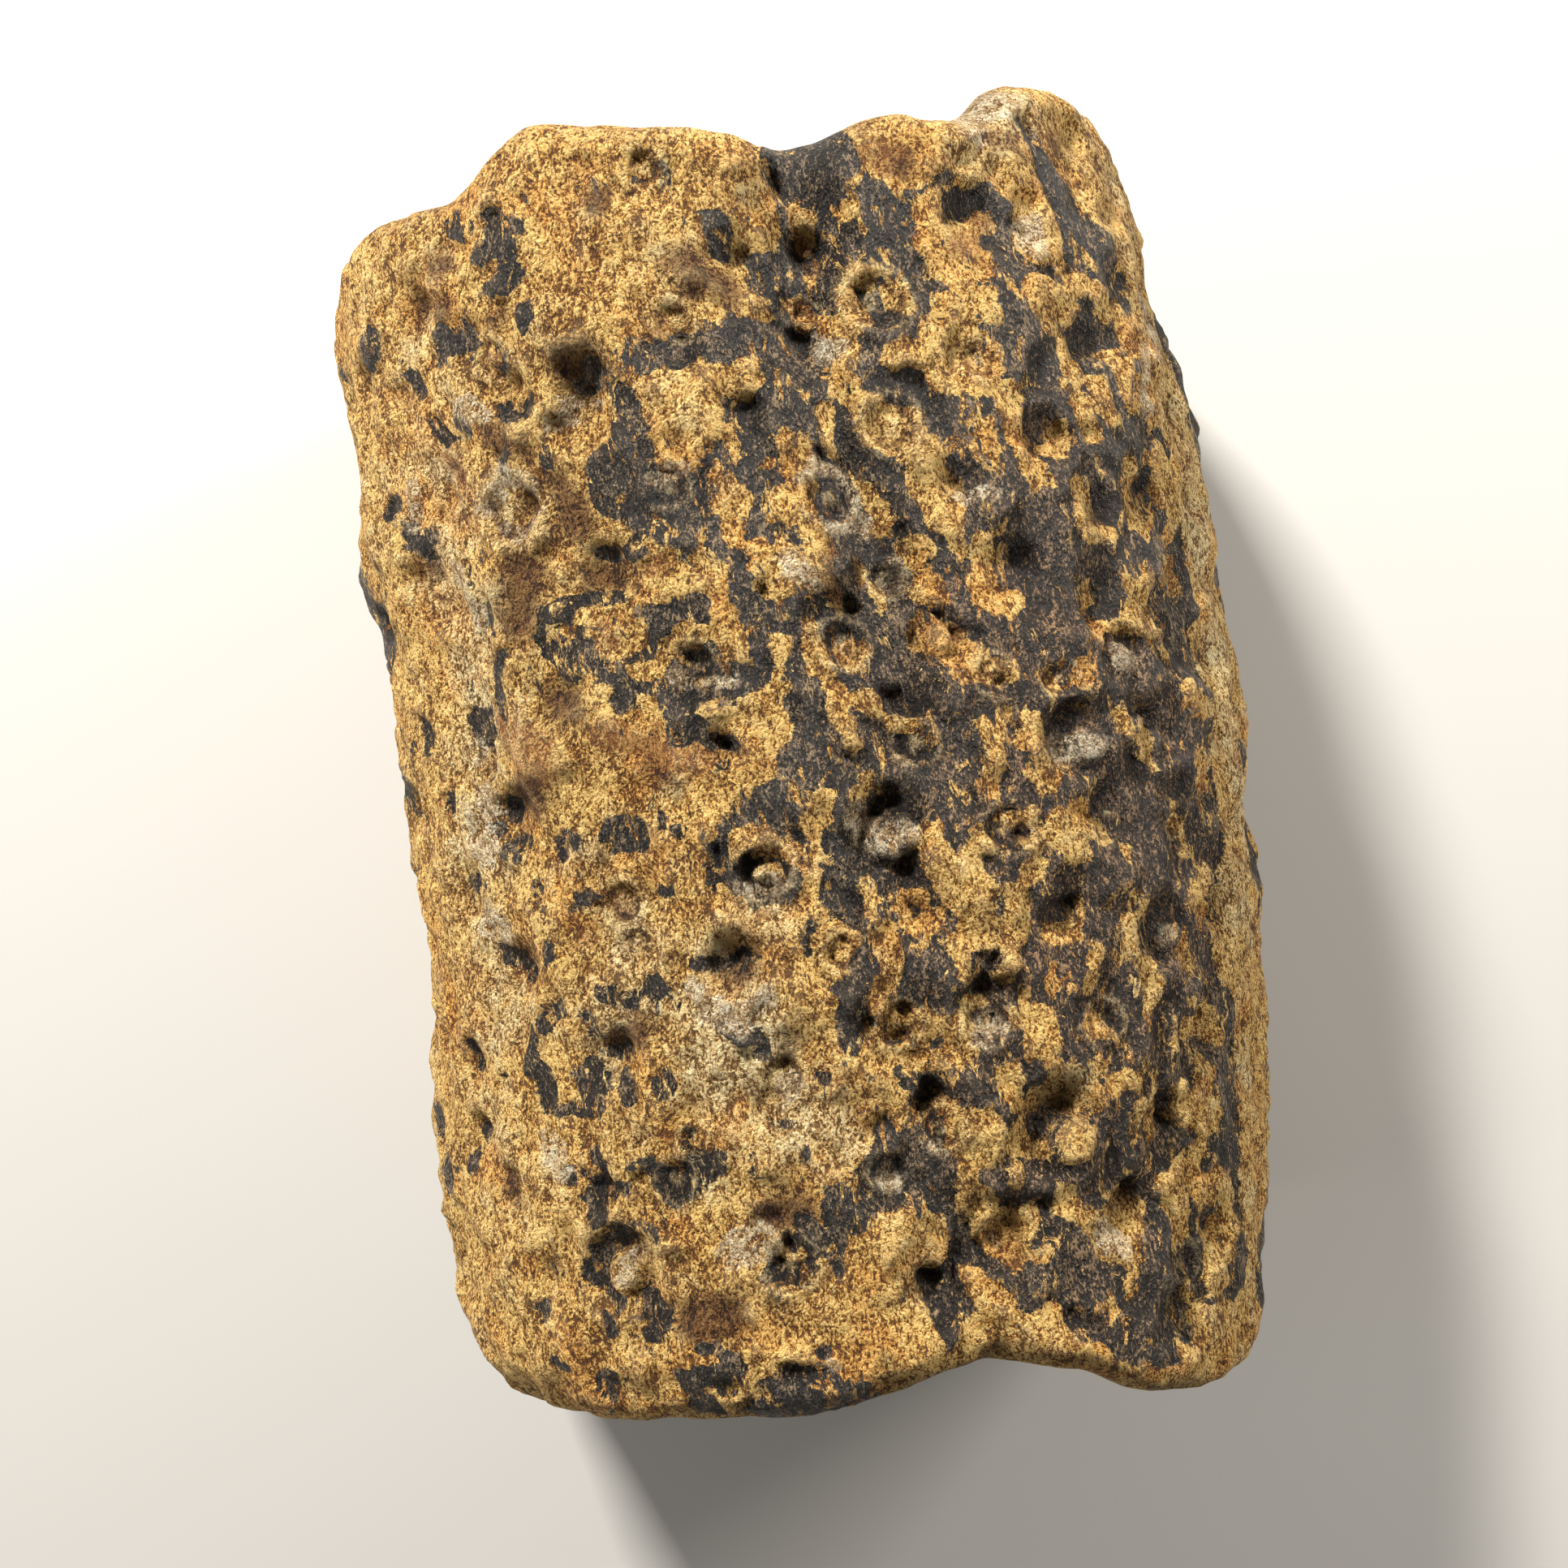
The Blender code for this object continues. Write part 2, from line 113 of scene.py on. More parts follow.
def bowl(distance: np.ndarray, radius: float) -> np.ndarray:
    """1 in the middle of a round hollow, falling as (1 - d^2 / r^2)^1.5 to 0 at its edge."""
    return np.clip(1 - (distance / radius) ** 2, 0.0, 1.0) ** 1.5


def lattice_noise(points: np.ndarray, cell: float, seed: int) -> np.ndarray:
    """Smooth random heights between -1 and 1 with one random value at each lattice corner.

    Args:
        points: places, one a row.
        cell: the distance between lattice corners.
        seed: which of the random lattices is used.

    Returns:
        The height at each point, blended from the eight corners round it.
    """
    size = LATTICE_SIZE
    values = np.random.default_rng(seed).uniform(-1.0, 1.0, (size, size, size))
    place = points / cell
    corner = np.floor(place).astype(int)
    u = place - corner
    u = u * u * (3 - 2 * u)
    total = np.zeros(len(points))
    for step in np.ndindex(2, 2, 2):
        weight = np.prod(np.where(np.array(step) == 1, u, 1 - u), axis=1)
        total += weight * values[tuple(((corner + step) % size).T)]
    return total


def line_distance(s: np.ndarray, t: np.ndarray, points: Points) -> np.ndarray:
    """The distance from each place to the nearest of the straight runs between points.

    Args:
        s: places round the girth.
        t: places along the root.
        points: the ends of the runs, one point for a dot.

    Returns:
        The distance, in the unit of the places.
    """
    nearest = np.full(s.shape, np.inf)
    for (s0, t0), (s1, t1) in zip(points, points[1:] or points):
        run_s, run_t = s1 - s0, t1 - t0
        length = max(run_s**2 + run_t**2, 1e-9)
        u = np.clip(((s - s0) * run_s + (t - t0) * run_t) / length, 0, 1)
        nearest = np.minimum(nearest, np.hypot(s - s0 - u * run_s, t - t0 - u * run_t))
    return nearest


def outline_depth(s: np.ndarray, t: np.ndarray, points: Points) -> np.ndarray:
    """How deep each place lies inside a closed outline, and below 0 how far outside it.

    A place is inside where a ray from it towards +s crosses the outline an odd number of times.

    Args:
        s: places round the girth.
        t: places along the root.
        points: the outline's corners, in order.

    Returns:
        The signed distance to the outline.
    """
    closed = points + points[:1]
    inside = np.zeros(s.shape, dtype=bool)
    for (s0, t0), (s1, t1) in zip(closed, closed[1:]):
        if t0 != t1:
            crosses = (t0 > t) != (t1 > t)
            inside ^= crosses & (s < s0 + (t - t0) * (s1 - s0) / (t1 - t0))
    return np.where(inside, 1.0, -1.0) * line_distance(s, t, closed)


@dataclass
class RootForm:
    """The plain form: a bun-shaped girth drawn out between two broken ends."""

    length: float = 147.0
    width: float = 108.0
    height: float = 66.0
    widest_height: float = 20.0
    upper_power: float = 2.15
    lower_power: float = 3.0
    worn_off: float = 1.0
    end_rounding: float = 4.0
    plain_below: float = 6.0
    crest_shape_above: float = 34.0
    girth_steps: int = 1800
    left_side: Points = (
        (-74, -46.6), (-70, -49.6), (-64, -52.5), (-57, -52.4), (-43, -52.6), (-34, -51.4),
        (-10, -50.2), (12, -50.4), (24, -50.6), (36, -52.0), (48, -51.2), (60, -51.8),
        (68, -50.8), (74, -48.6),
    )
    right_side: Points = (
        (-74, 45.6), (-60, 47.9), (-48, 50.0), (-36, 50.9), (-24, 52.4), (-16, 53.4),
        (-10, 53.0), (-4, 54.2), (10, 54.2), (25, 53.6), (36, 53.2), (50, 51.0),
        (62, 49.2), (74, 45.6),
    )
    far_end: Points = (
        (-54, 66.0), (-47, 68.8), (-42, 69.0), (-36, 68.0), (-31, 67.3), (-27, 69.1),
        (-21, 71.5), (-16, 70.5), (-8, 68.6), (0, 67.0), (6, 66.0), (10, 66.4), (18, 67.6),
        (22, 67.2), (27, 68.5), (31, 71.9), (35, 73.5), (40, 73.7), (46, 72.0), (54, 67.6),
    )
    near_end: Points = (
        (-54, -61.6), (-48, -65.8), (-42, -66.8), (-37, -66.0), (-27, -64.8), (-10, -64.4),
        (-1, -62.9), (8, -61.8), (16, -63.4), (20, -64.8), (25, -68.2), (30, -70.3),
        (36, -72.2), (41, -73.1), (54, -72.6),
    )
    far_end_below: Points = ((-54, 64.0), (-20, 68.5), (20, 66.0), (54, 68.0))
    near_end_below: Points = ((-54, -62.0), (-15, -66.5), (20, -65.0), (54, -69.5))

    def section_radius(self, turn: np.ndarray, half_width: np.ndarray) -> np.ndarray:
        """How far the skin is from the middle of the girth.

        Above the widest line the section is |x / a|^p + |z / b|^p = 1 with the upper power
        and the height above that line as b, and below it the same with the lower power.

        Args:
            turn: angles from the crest.
            half_width: half of the width there.

        Returns:
            The radius at each angle.
        """
        across, up = np.abs(np.sin(turn)), np.cos(turn)
        rise = self.height - self.widest_height
        drop = self.widest_height + self.worn_off
        upper = (across / half_width) ** self.upper_power + (np.abs(up) / rise) ** self.upper_power
        lower = (across / half_width) ** self.lower_power + (np.abs(up) / drop) ** self.lower_power
        return np.where(up >= 0, upper ** (-1 / self.upper_power), lower ** (-1 / self.lower_power))

    def girth_scale(self) -> tuple[np.ndarray, np.ndarray]:
        """Angles from the crest, and the skin's length s up to each, as a running sum of chords.

        Returns:
            The angles, and s at each.
        """
        turn = np.linspace(-math.pi, math.pi, 2 * self.girth_steps + 1)
        radius = self.section_radius(turn, np.full(turn.shape, self.width / 2))
        x, z = radius * np.sin(turn), radius * np.cos(turn)
        s = np.concatenate([[0.0], np.cumsum(np.hypot(np.diff(x), np.diff(z)))])
        return turn, s - s[self.girth_steps]

    def end_line(self, crest: Points, low: Points, x: np.ndarray, z: np.ndarray) -> np.ndarray:
        """Where a broken end lies: its crest outline high up, easing into a plainer one below."""
        share = ease(z, self.plain_below, self.crest_shape_above)
        return share * curve(crest, x) + (1 - share) * curve(low, x)

    def points(self, turn: np.ndarray, along: np.ndarray, reach: np.ndarray) -> np.ndarray:
        """Points of the plain form.

        The section at an angle is carried from one end line to the other, and its edge is
        drawn in along a quarter circle at both ends.

        Args:
            turn: angles from the crest.
            along: 1 at the far end to -1 at the near end.
            reach: 0 in the middle of an end to 1 on its rim.

        Returns:
            The points, one a row.
        """
        y_plain = along * self.length / 2
        left, right = curve(self.left_side, y_plain), curve(self.right_side, y_plain)
        middle, half_width = (left + right) / 2, (right - left) / 2
        radius = self.section_radius(turn, half_width)
        x_plain = middle + reach * radius * np.sin(turn)
        z_plain = self.widest_height + reach * radius * np.cos(turn)
        far = self.end_line(self.far_end, self.far_end_below, x_plain, z_plain)
        near = self.end_line(self.near_end, self.near_end_below, x_plain, z_plain)
        y = np.where(along >= 0, along * far, -along * near)
        from_end = np.minimum((1 - np.abs(along)) * self.length / 2, self.end_rounding)
        inset = self.end_rounding - np.sqrt(
            self.end_rounding**2 - (self.end_rounding - from_end) ** 2
        )
        radius = reach * (radius - inset)
        x = middle + radius * np.sin(turn)
        z = self.widest_height + radius * np.cos(turn)
        return np.stack([x, y, z], axis=-1)


class ScarKind(Enum):
    """How a rootlet's scar is kept."""

    RINGED = "a raised ring round a dip with a knob"
    CUPPED = "a cup that is deepest under its upper edge"
    PLUGGED = "a cup with the stump of the rootlet left in it"


class Tone(Enum):
    """What a mark on the skin is."""

    CHARCOAL = "dark skin left on the crust"
    OCHRE = "crust that shows through the dark skin"
    # A pit is hollowed in the relief, and the black inside it is painted shadow.
    PIT = "a small deep hollow, black inside"
    CREAM = "pale, nearly white stone"
    RUST = "iron-stained, reddish stone"
    # A shade mark is painted shade: brown laid into the colour of the relief's hollows.
    SHADE = "brown stain in a hollow"


@dataclass(frozen=True)
class Scar:
    """One rootlet scar: its place, radius and kind, and for a plug its shift and radius."""

    s: float
    t: float
    radius: float
    kind: ScarKind
    plug_s: float = 0.0
    plug_t: float = 0.0
    plug_radius: float = 0.0


RINGED_SCARS = (
    (-7.5, 63.5, 2.2), (-28.5, 48.5, 2.4), (-38, 37.3, 3.2), (-29.5, 32.5, 4.0),
    (-8, 48, 2.2), (13.5, 48, 3.6), (6.3, 48, 1.8), (22.5, 40.5, 2.2), (12, 35, 3.3),
    (-12, 31.8, 2.6), (4.2, 28.4, 3.0), (8.4, 19.6, 2.2), (2.6, 13.4, 2.8),
    (-12.7, 13.6, 2.2), (-42.3, 7.2, 2.6), (17.5, 8.2, 2.5), (8.2, 2.6, 2.4),
    (-8.4, -8.2, 3.3), (16.8, -7.4, 2.9), (28.5, -9.0, 1.8), (-24.3, -9.5, 2.6),
    (-23.2, -13.6, 1.7), (-1.5, -17.3, 2.1), (13.4, -26.6, 2.8), (-8, -29.3, 2.8),
    (26.3, -28.8, 2.5), (-17.5, -34.3, 1.8), (8.8, -36.7, 2.4), (2.6, -39.8, 2.2),
    (-8, -47.8, 3.0), (39.5, -9.5, 2.0), (24.5, 7.0, 2.2), (41.5, 11.0, 2.4),
    (-20, -38.5, 2.4), (38, -57, 2.2), (-45, 27, 2.2), (4.3, -25.6, 2.6),
)
CUPPED_SCARS = (
    (-19.7, 40, 3.4), (8.5, 54, 2.6), (0, 53.5, 1.8), (4.7, 44.5, 2.2), (-2.5, 37.8, 2.2),
    (26, 56, 3.6), (37, 42, 2.8), (17.5, 28.3, 2.6), (-37.5, 0.3, 3.8), (-20, 24.6, 2.8),
    (28.6, 32.4, 3.0), (33.7, 24.3, 2.9), (42.4, 25.6, 2.7), (22, 19.2, 3.0),
    (47.5, 17.3, 2.3), (50, 7.6, 2.4), (48.5, -2, 2.6), (-48, -6.5, 2.0), (-39.6, -15.8, 3.3),
    (7.7, -14.2, 2.3), (-12.6, -17.6, 3.4), (21.8, -17.8, 2.8), (46.5, -20.3, 2.8),
    (39.6, -6.6, 2.2), (42.2, -33.4, 3.0), (1.8, -36, 2.0), (34.4, -40.6, 3.0),
    (29.3, -49.4, 3.0), (5.9, -52.4, 2.3), (14.8, -49.4, 2.8), (-50, -34, 2.4),
    (-50.5, -27, 2.2), (42.5, -54.4, 2.0), (36.4, -61.2, 2.4), (-36.5, -48, 1.8),
    (30.8, 15.5, 1.8), (-37, 56.5, 1.8), (-28.3, -39.5, 2.0), (-9.5, -32, 1.8),
    (-27, -25.5, 2.0), (52, 36, 2.4), (53, -13, 2.4), (-53, 52, 2.4), (54, 26, 2.3),
)
PLUGGED_SCARS = (
    (4.2, -5.6, 4.2, 0.8, -0.8, 3.0), (25.2, 0.8, 3.9, 1.2, -0.8, 2.4),
    (34.9, -20.5, 3.8, 1.1, -0.9, 2.0), (20.4, -38.4, 4.8, 1.6, -1.6, 2.9),
    (-26.8, -47.2, 4.4, 0.0, -0.6, 2.4), (33.4, 8.5, 3.0, 0.0, 0.0, 2.0),
    (36.5, -0.4, 2.8, 0.0, -0.3, 1.5), (12.4, 12.8, 3.0, 0.0, 0.0, 1.8),
)


@dataclass
class HiddenScars:
    """Rows of scars round the lower flanks, where they go on in the same slanting pattern."""

    seed: int = 318
    from_s: float = 63.0
    row_step: float = 11.0
    scar_step: float = 13.0
    rows: int = 4
    jitter: float = 2.8
    clear_of_ends: float = 8.0
    row_starts: Pair = (0.1, 0.5)
    radii: Pair = (1.8, 2.9)

    def scars(self, length: float) -> list[tuple[float, float, float]]:
        """Places and radii, in rows that step by half a space, none quite in line.

        Args:
            length: the root's length.

        Returns:
            One (s, t, radius) for each scar.
        """
        rng = np.random.default_rng(self.seed)
        found = []
        reach = length / 2 - self.clear_of_ends
        for row in range(self.rows):
            start = -reach + self.scar_step * self.row_starts[row % 2]
            for t in np.arange(start, reach, self.scar_step):
                for side in (-1, 1):
                    s = side * (self.from_s + row * self.row_step)
                    shift = rng.uniform(-self.jitter, self.jitter, 2)
                    found.append((s + shift[0], t + shift[1], rng.uniform(*self.radii)))
        return found


def all_scars(length: float) -> list[Scar]:
    """Every scar on the root, those that the lower flanks hide among them.

    Args:
        length: the root's length.

    Returns:
        The scars.
    """
    hidden = tuple(HiddenScars().scars(length))
    scars = [Scar(*row, ScarKind.RINGED) for row in RINGED_SCARS]
    scars += [Scar(*row, ScarKind.CUPPED) for row in CUPPED_SCARS + hidden]
    scars += [Scar(s, t, r, ScarKind.PLUGGED, *plug) for s, t, r, *plug in PLUGGED_SCARS]
    return scars


# How each kind of scar is told to the stone's material
SCAR_SIGNS = {ScarKind.RINGED: 1.0, ScarKind.CUPPED: -1.0, ScarKind.PLUGGED: -0.6}


@dataclass
class SkinRelief:
    """What stands out of the plain form: furrow, swells, ridge, hollows, scars and grain."""

    seed: int = 318
    furrow: tuple[tuple[float, ...], ...] = (
        (-74, 11.5, 2.4, 5.0), (-60, 11.0, 1.8, 4.0), (-45, 9.0, 1.8, 3.5),
        (-30, 5.5, 1.3, 4.0), (-12, 3.5, 1.3, 4.0), (5, 6.0, 1.7, 4.0), (25, 8.0, 2.0, 4.5),
        (43, 5.5, 2.6, 5.0), (60, 8.0, 3.6, 6.0), (74, 9.0, 4.4, 6.5),
    )
    swells: tuple[tuple[float, ...], ...] = (
        (-17, 57, 13, 13, 1.7), (-18, 48, 6, 5, 0.7), (-9, 41, 6, 6, 1.2), (-9, 20, 5, 6, 0.8),
        (27, 38, 12, 26, 0.9), (22, -8, 12, 26, 0.9), (-14, -8, 9, 26, 0.5),
        (-28, 7, 9, 6, 1.2), (-43, 22, 6, 28, -1.8), (-44, -14, 6, 16, -0.9),
        (-33, -27, 8, 8, -0.8), (28, -62, 10, 10, 0.8), (-38, -50, 12, 14, 0.7),
        (41, 62, 7, 9, -0.8), (-31, 66, 4, 6, -1.2), (0, -40, 8, 10, 0.4), (14, -47, 5, 5, -0.9),
    )
    ridge: Points = ((-24, 42), (-32, 34), (-34, 18), (-32, 6))
    ridge_height: float = 1.0
    ridge_reach: float = 3.0
    hollows: tuple[tuple[float, ...], ...] = (
        (-18.5, 44, 3.5, 1.6), (-27, 44, 4, 1.4), (-32, 60.5, 3, 0.9), (-28.5, 12.5, 4.5, 1.3),
        (-38.5, 19, 2.8, 1.0), (-48.5, 28.7, 2.5, 0.9), (-53, 38, 3.5, 0.9),
        (-36.5, 23.5, 3, 1.1), (-11.5, 4.6, 2.5, 1.3), (-14, 6.5, 2.5, 0.9),
        (9.5, 23.5, 2.2, 0.9), (6, -10, 3.5, 0.5), (28, -6, 2.6, 1.1),
        (22.5, -14.5, 4, 0.6), (42, -29.5, 2.4, 1.0), (-42.5, -39.8, 3.4, 1.0),
        (-7.8, -41.8, 4.5, 1.2), (-18, -52, 4.5, 0.8), (29.5, -47.5, 2.8, 1.1),
        (20, -57, 3.2, 0.9), (46, 68, 4, 1.4), (-18, -31, 2.6, 0.9), (-26, -24.3, 2.4, 1.3),
        (8, -33.8, 2.2, 1.2), (30.5, 12.8, 2.6, 1.0), (36.5, 2.6, 2.4, 1.3),
    )
    ring_rise: float = 0.20
    ring_width: float = 0.35
    ring_dip: float = 0.24
    knob_rise: float = 0.24
    knob_width: float = 0.40
    cup_dip: float = 0.31
    cup_tilt: float = 0.55
    cup_reach: float = 1.15
    lip_rise: float = 0.14
    lip_place: float = 1.25
    lip_width: float = 0.30
    plug_rise: float = 0.60
    plug_flat: float = 0.6
    plug_edge: float = 1.1
    cushion_rise: float = 0.9
    cushion_from: float = 1.0
    cushion_to: float = 2.3
    skin_roughness: Points = ((17.0, 0.75), (8.0, 0.5), (4.2, 0.28))
    end_roughness: Points = (
        (30.0, 1.8), (11.0, 0.9), (5.0, 0.35), (2.3, 0.22), (1.3, 0.12),
    )
    crust_grain: Points = ((3.4, 0.50), (1.8, 0.45))
    skin_grain: Points = ((3.6, 0.80), (1.9, 0.32))
    crust_thickness: float = 0.14
    crust_edge: Pair = (-0.4, 0.4)
    pit_depth: float = 0.9
    pit_edge: Pair = (-0.7, 1.1)
    scar_reach: float = 3.0
    crust_seed: int = 338
    bare_seed: int = 348
    end_seed: int = 368
    end_blend_from: float = 0.72
    flat_below: float = 2.0
    full_relief_above: float = 9.0

    def furrow_height(self, s: np.ndarray, t: np.ndarray) -> np.ndarray:
        """The furrow: -depth exp(-((s - s0) / reach)^2), with all three changing along t.

        Args:
            s: places round the girth.
            t: places along the root.

        Returns:
            The height at each place, below 0 in the furrow.
        """
        middle, depth, reach = (
            curve(tuple((row[0], row[k]) for row in self.furrow), t) for k in (1, 2, 3)
        )
        return -depth * np.exp(-(((s - middle) / reach) ** 2))

    def broad_height(self, s: np.ndarray, t: np.ndarray) -> np.ndarray:
        """Swells as bells over both lengths, the ridge as a bell across a line, and hollows.

        Args:
            s: places round the girth.
            t: places along the root.

        Returns:
            The height at each place.
        """
        height = np.zeros(s.shape)
        for s0, t0, s_reach, t_reach, rise in self.swells:
            height += rise * np.exp(-(((s - s0) / s_reach) ** 2) - ((t - t0) / t_reach) ** 2)
        nearest = line_distance(s, t, self.ridge)
        height += self.ridge_height * np.exp(-((nearest / self.ridge_reach) ** 2))
        for s0, t0, radius, depth in self.hollows:
            height -= depth * bowl(np.hypot(s - s0, t - t0), radius)
        return height

    def scar_height(self, s: np.ndarray, t: np.ndarray, scar: Scar) -> np.ndarray:
        """One scar's own form.

        A ring is a bell across the circle of its radius with a bowl and a knob inside it. A
        cup is a bowl made deeper towards +t, with a low lip round it. A plug is a flat-topped
        disc with soft edges in such a cup.

        Args:
            s: places round the girth.
            t: places along the root.
            scar: the scar.

        Returns:
            The height at each place.
        """
        r = scar.radius
        away = np.hypot(s - scar.s, t - scar.t) / r
        if scar.kind is ScarKind.RINGED:
            ring = self.ring_rise * np.exp(-(((away - 1) / self.ring_width) ** 2))
            knob = self.knob_rise * np.exp(-((away / self.knob_width) ** 2))
            return r * (ring + knob - self.ring_dip * bowl(away, 1.0))
        tilt = 1 + self.cup_tilt * np.clip((t - scar.t) / r, -1, 1)
        lip = self.lip_rise * np.exp(-(((away - self.lip_place) / self.lip_width) ** 2))
        height = r * (lip - self.cup_dip * tilt * bowl(away, self.cup_reach))
        if scar.kind is ScarKind.PLUGGED:
            plug = np.hypot(s - scar.s - scar.plug_s, t - scar.t - scar.plug_t) / scar.plug_radius
            rise = self.plug_rise * scar.plug_radius
            height += rise * (1 - ease(plug, self.plug_flat, self.plug_edge))
        return height

    def cushion_height(self, s: np.ndarray, t: np.ndarray, scars: list[Scar]) -> np.ndarray:
        """The skin between the scars: a smooth step of the radii to the nearest of them.

        Args:
            s: places round the girth.
            t: places along the root.
            scars: the scars.

        Returns:
            The height at each place.
        """
        nearest = np.full(s.shape, np.inf)
        for scar in scars:
            nearest = np.minimum(nearest, np.hypot(s - scar.s, t - scar.t) / scar.radius)
        return self.cushion_rise * ease(nearest, self.cushion_from, self.cushion_to)

    def heights(
        self, s: np.ndarray, points: np.ndarray, reach: np.ndarray,
        depths: dict[Tone, np.ndarray], scars: list[Scar],
    ) -> tuple[np.ndarray, np.ndarray]:
        """How far the surface stands out from the plain form.

        The crust between the patches of dark skin stands a little proud and is the grainier
        of the two. The broken ends have their own coarser roughness, and nothing stands out
        where the root is worn flat.

        Args:
            s: places round the girth.
            points: the plain form's points.
            reach: 0 in the middle of an end to 1 on its rim and over the skin.
            depths: depth inside the marks of each tone.
            scars: the scars.

        Returns:
            The skin's height away from the middle of the girth, and the broken ends' height
            along the root.
        """
        t = points[:, 1]
        skin = self.furrow_height(s, t) + self.broad_height(s, t) + self.cushion_height(s, t, scars)
        for scar in scars:
            near = np.hypot(s - scar.s, t - scar.t) < self.scar_reach * scar.radius
            skin[near] += self.scar_height(s[near], t[near], scar)
        for seed, (cell, height) in enumerate(self.skin_roughness):
            skin += height * lattice_noise(points, cell, self.seed + seed)
        crust = 1 - ease(depths[Tone.CHARCOAL], *self.crust_edge)
        pits = ease(depths[Tone.PIT], *self.pit_edge)
        skin += self.crust_thickness * crust - self.pit_depth * pits
        for seed, (cell, height) in enumerate(self.crust_grain):
            skin += crust * height * lattice_noise(points, cell, self.crust_seed + seed)
        for seed, (cell, height) in enumerate(self.skin_grain):
            skin += (1 - crust) * height * lattice_noise(points, cell, self.bare_seed + seed)
        end = np.zeros(len(s))
        for seed, (cell, height) in enumerate(self.end_roughness):
            end += height * lattice_noise(points, cell, self.end_seed + seed)
        rim = ease(reach, self.end_blend_from, 1.0)
        share = ease(points[:, 2], self.flat_below, self.full_relief_above)
        return share * rim * skin, share * (1 - rim) * end


# The outlines of the three dark zones: s, t of their corners
DARK_ZONE: Points = (
    (5.2, 67.5), (5.2, 62), (5.6, 57.5), (4.5, 55), (1, 54), (0.5, 50.5), (2.5, 48.5), (3, 46.8),
    (0.5, 46.5), (-2, 47.5), (-6, 47), (-9, 46), (-13, 47), (-13.5, 44.5), (-12, 42.8), (-8, 43.2),
    (-5.5, 43.8), (-3, 42.6), (0.2, 42.5), (0.4, 40.5), (-0.8, 39), (-4.2, 39), (-4.4, 35.2),
    (-8.5, 34.8), (-8, 31), (-8.5, 27), (-9, 24.5), (-7, 22.5), (-8, 20), (-6.6, 17.5), (-6.4, 14),
    (-8, 11.5), (-7.5, 9.5), (-5, 10), (-4, 8.5), (-5.2, 6.5), (-3.8, 5.8), (-4.5, 4), (-5.6, 3.5),
    (-5.6, 0.6), (-10, -0.2), (-10.8, -2.6), (-13, -3.4), (-14, -6), (-13.6, -9.5), (-10.5, -11),
    (-6.5, -11.8), (-5, -10), (-4.3, -8), (-4.4, -6.2), (-3, -6), (-2.8, -10.2), (-3.8, -12),
    (-3.6, -14.5), (-5.8, -14.6), (-5.4, -17.2), (-4, -17.6), (-3.6, -19), (-3, -21), (-2, -21.8),
    (-2.4, -24), (-2.6, -26.5), (-1.5, -27.8), (0.3, -27), (1.2, -25), (3, -24), (3, -28),
    (4.5, -30.5), (5, -33), (5.2, -35.5), (4, -36.5), (3, -34.8), (1.2, -35), (1, -37), (0, -38.5),
    (-0.5, -40.5), (-4, -41.2), (-5, -43), (-6.8, -43.5), (-7, -45), (-5.2, -47), (-2.5, -47),
    (-1, -45.5), (3, -44.5), (4.8, -44.5), (5.3, -45.5), (8.5, -45), (9, -49), (8, -50.8),
    (5.2, -50.8), (5.4, -53), (6.5, -56), (7, -58.8), (8.5, -58.2), (9, -55.5), (10.8, -55.2),
    (10.6, -50.8), (12.3, -51.8), (14.3, -52.8), (15, -54.3), (16, -57), (17, -56.7), (18.3, -55),
    (19.5, -56), (19.5, -58.8), (20.7, -61), (23, -62), (25.5, -65), (30, -66), (33.5, -66),
    (34.5, -64), (36.5, -65), (37.5, -62), (40.5, -61.5), (43, -62.5), (46, -63), (49, -62),
    (49.5, -50), (50, -40), (49, -33), (48.5, -28), (46, -25), (47, -20), (48.5, -12), (48.5, -8),
    (49, -2), (48, 0), (49, 4), (47.5, 10), (49.5, 12), (50, 20), (49, 24), (49, 34), (45, 33),
    (43.5, 36), (42.5, 40), (44, 42), (42.5, 46), (46, 49), (48.5, 49), (46, 54), (44, 58),
    (41, 62), (39, 64), (38.5, 67.5), (36.4, 67), (36.6, 62.5), (36, 58), (37, 54.5), (36.5, 50.2),
    (35, 50.2), (34.5, 54), (32, 54.5), (30.3, 57.5), (29.5, 60), (26, 60), (23.5, 60.5),
    (21.5, 59), (17, 58.5), (15.5, 60), (15, 64), (14.5, 67.5),
)
DARK_SHOULDER: Points = (
    (-20, 35.6), (-17, 37.2), (-14.6, 38.4), (-12.6, 38), (-12.8, 35.5), (-13, 33), (-9, 33),
    (-8.4, 35), (-8, 31), (-8.4, 27.5), (-9.5, 25.5), (-12, 25.2), (-15, 26.4), (-17, 27.8),
    (-19.8, 30.6), (-20.2, 33),
)
DARK_EYE: Points = (
    (-28.5, 21.8), (-24.5, 22.8), (-19.5, 23), (-19, 20.4), (-15.5, 20), (-10.5, 19.6),
    (-8.6, 20.8), (-6.6, 21), (-6.2, 15), (-7.2, 11), (-8.4, 9.6), (-10.6, 8.6), (-12.6, 8),
    (-13.2, 5.6), (-11, 5), (-10.6, 3.6), (-12.8, 3.6), (-14.6, 5.6), (-16.6, 6), (-17.4, 9.4),
    (-18.8, 12), (-20.4, 11.6), (-21, 9.8), (-22.6, 10.2), (-22.2, 13), (-24.5, 14.4),
    (-28, 14.4), (-29.6, 16.6),
)

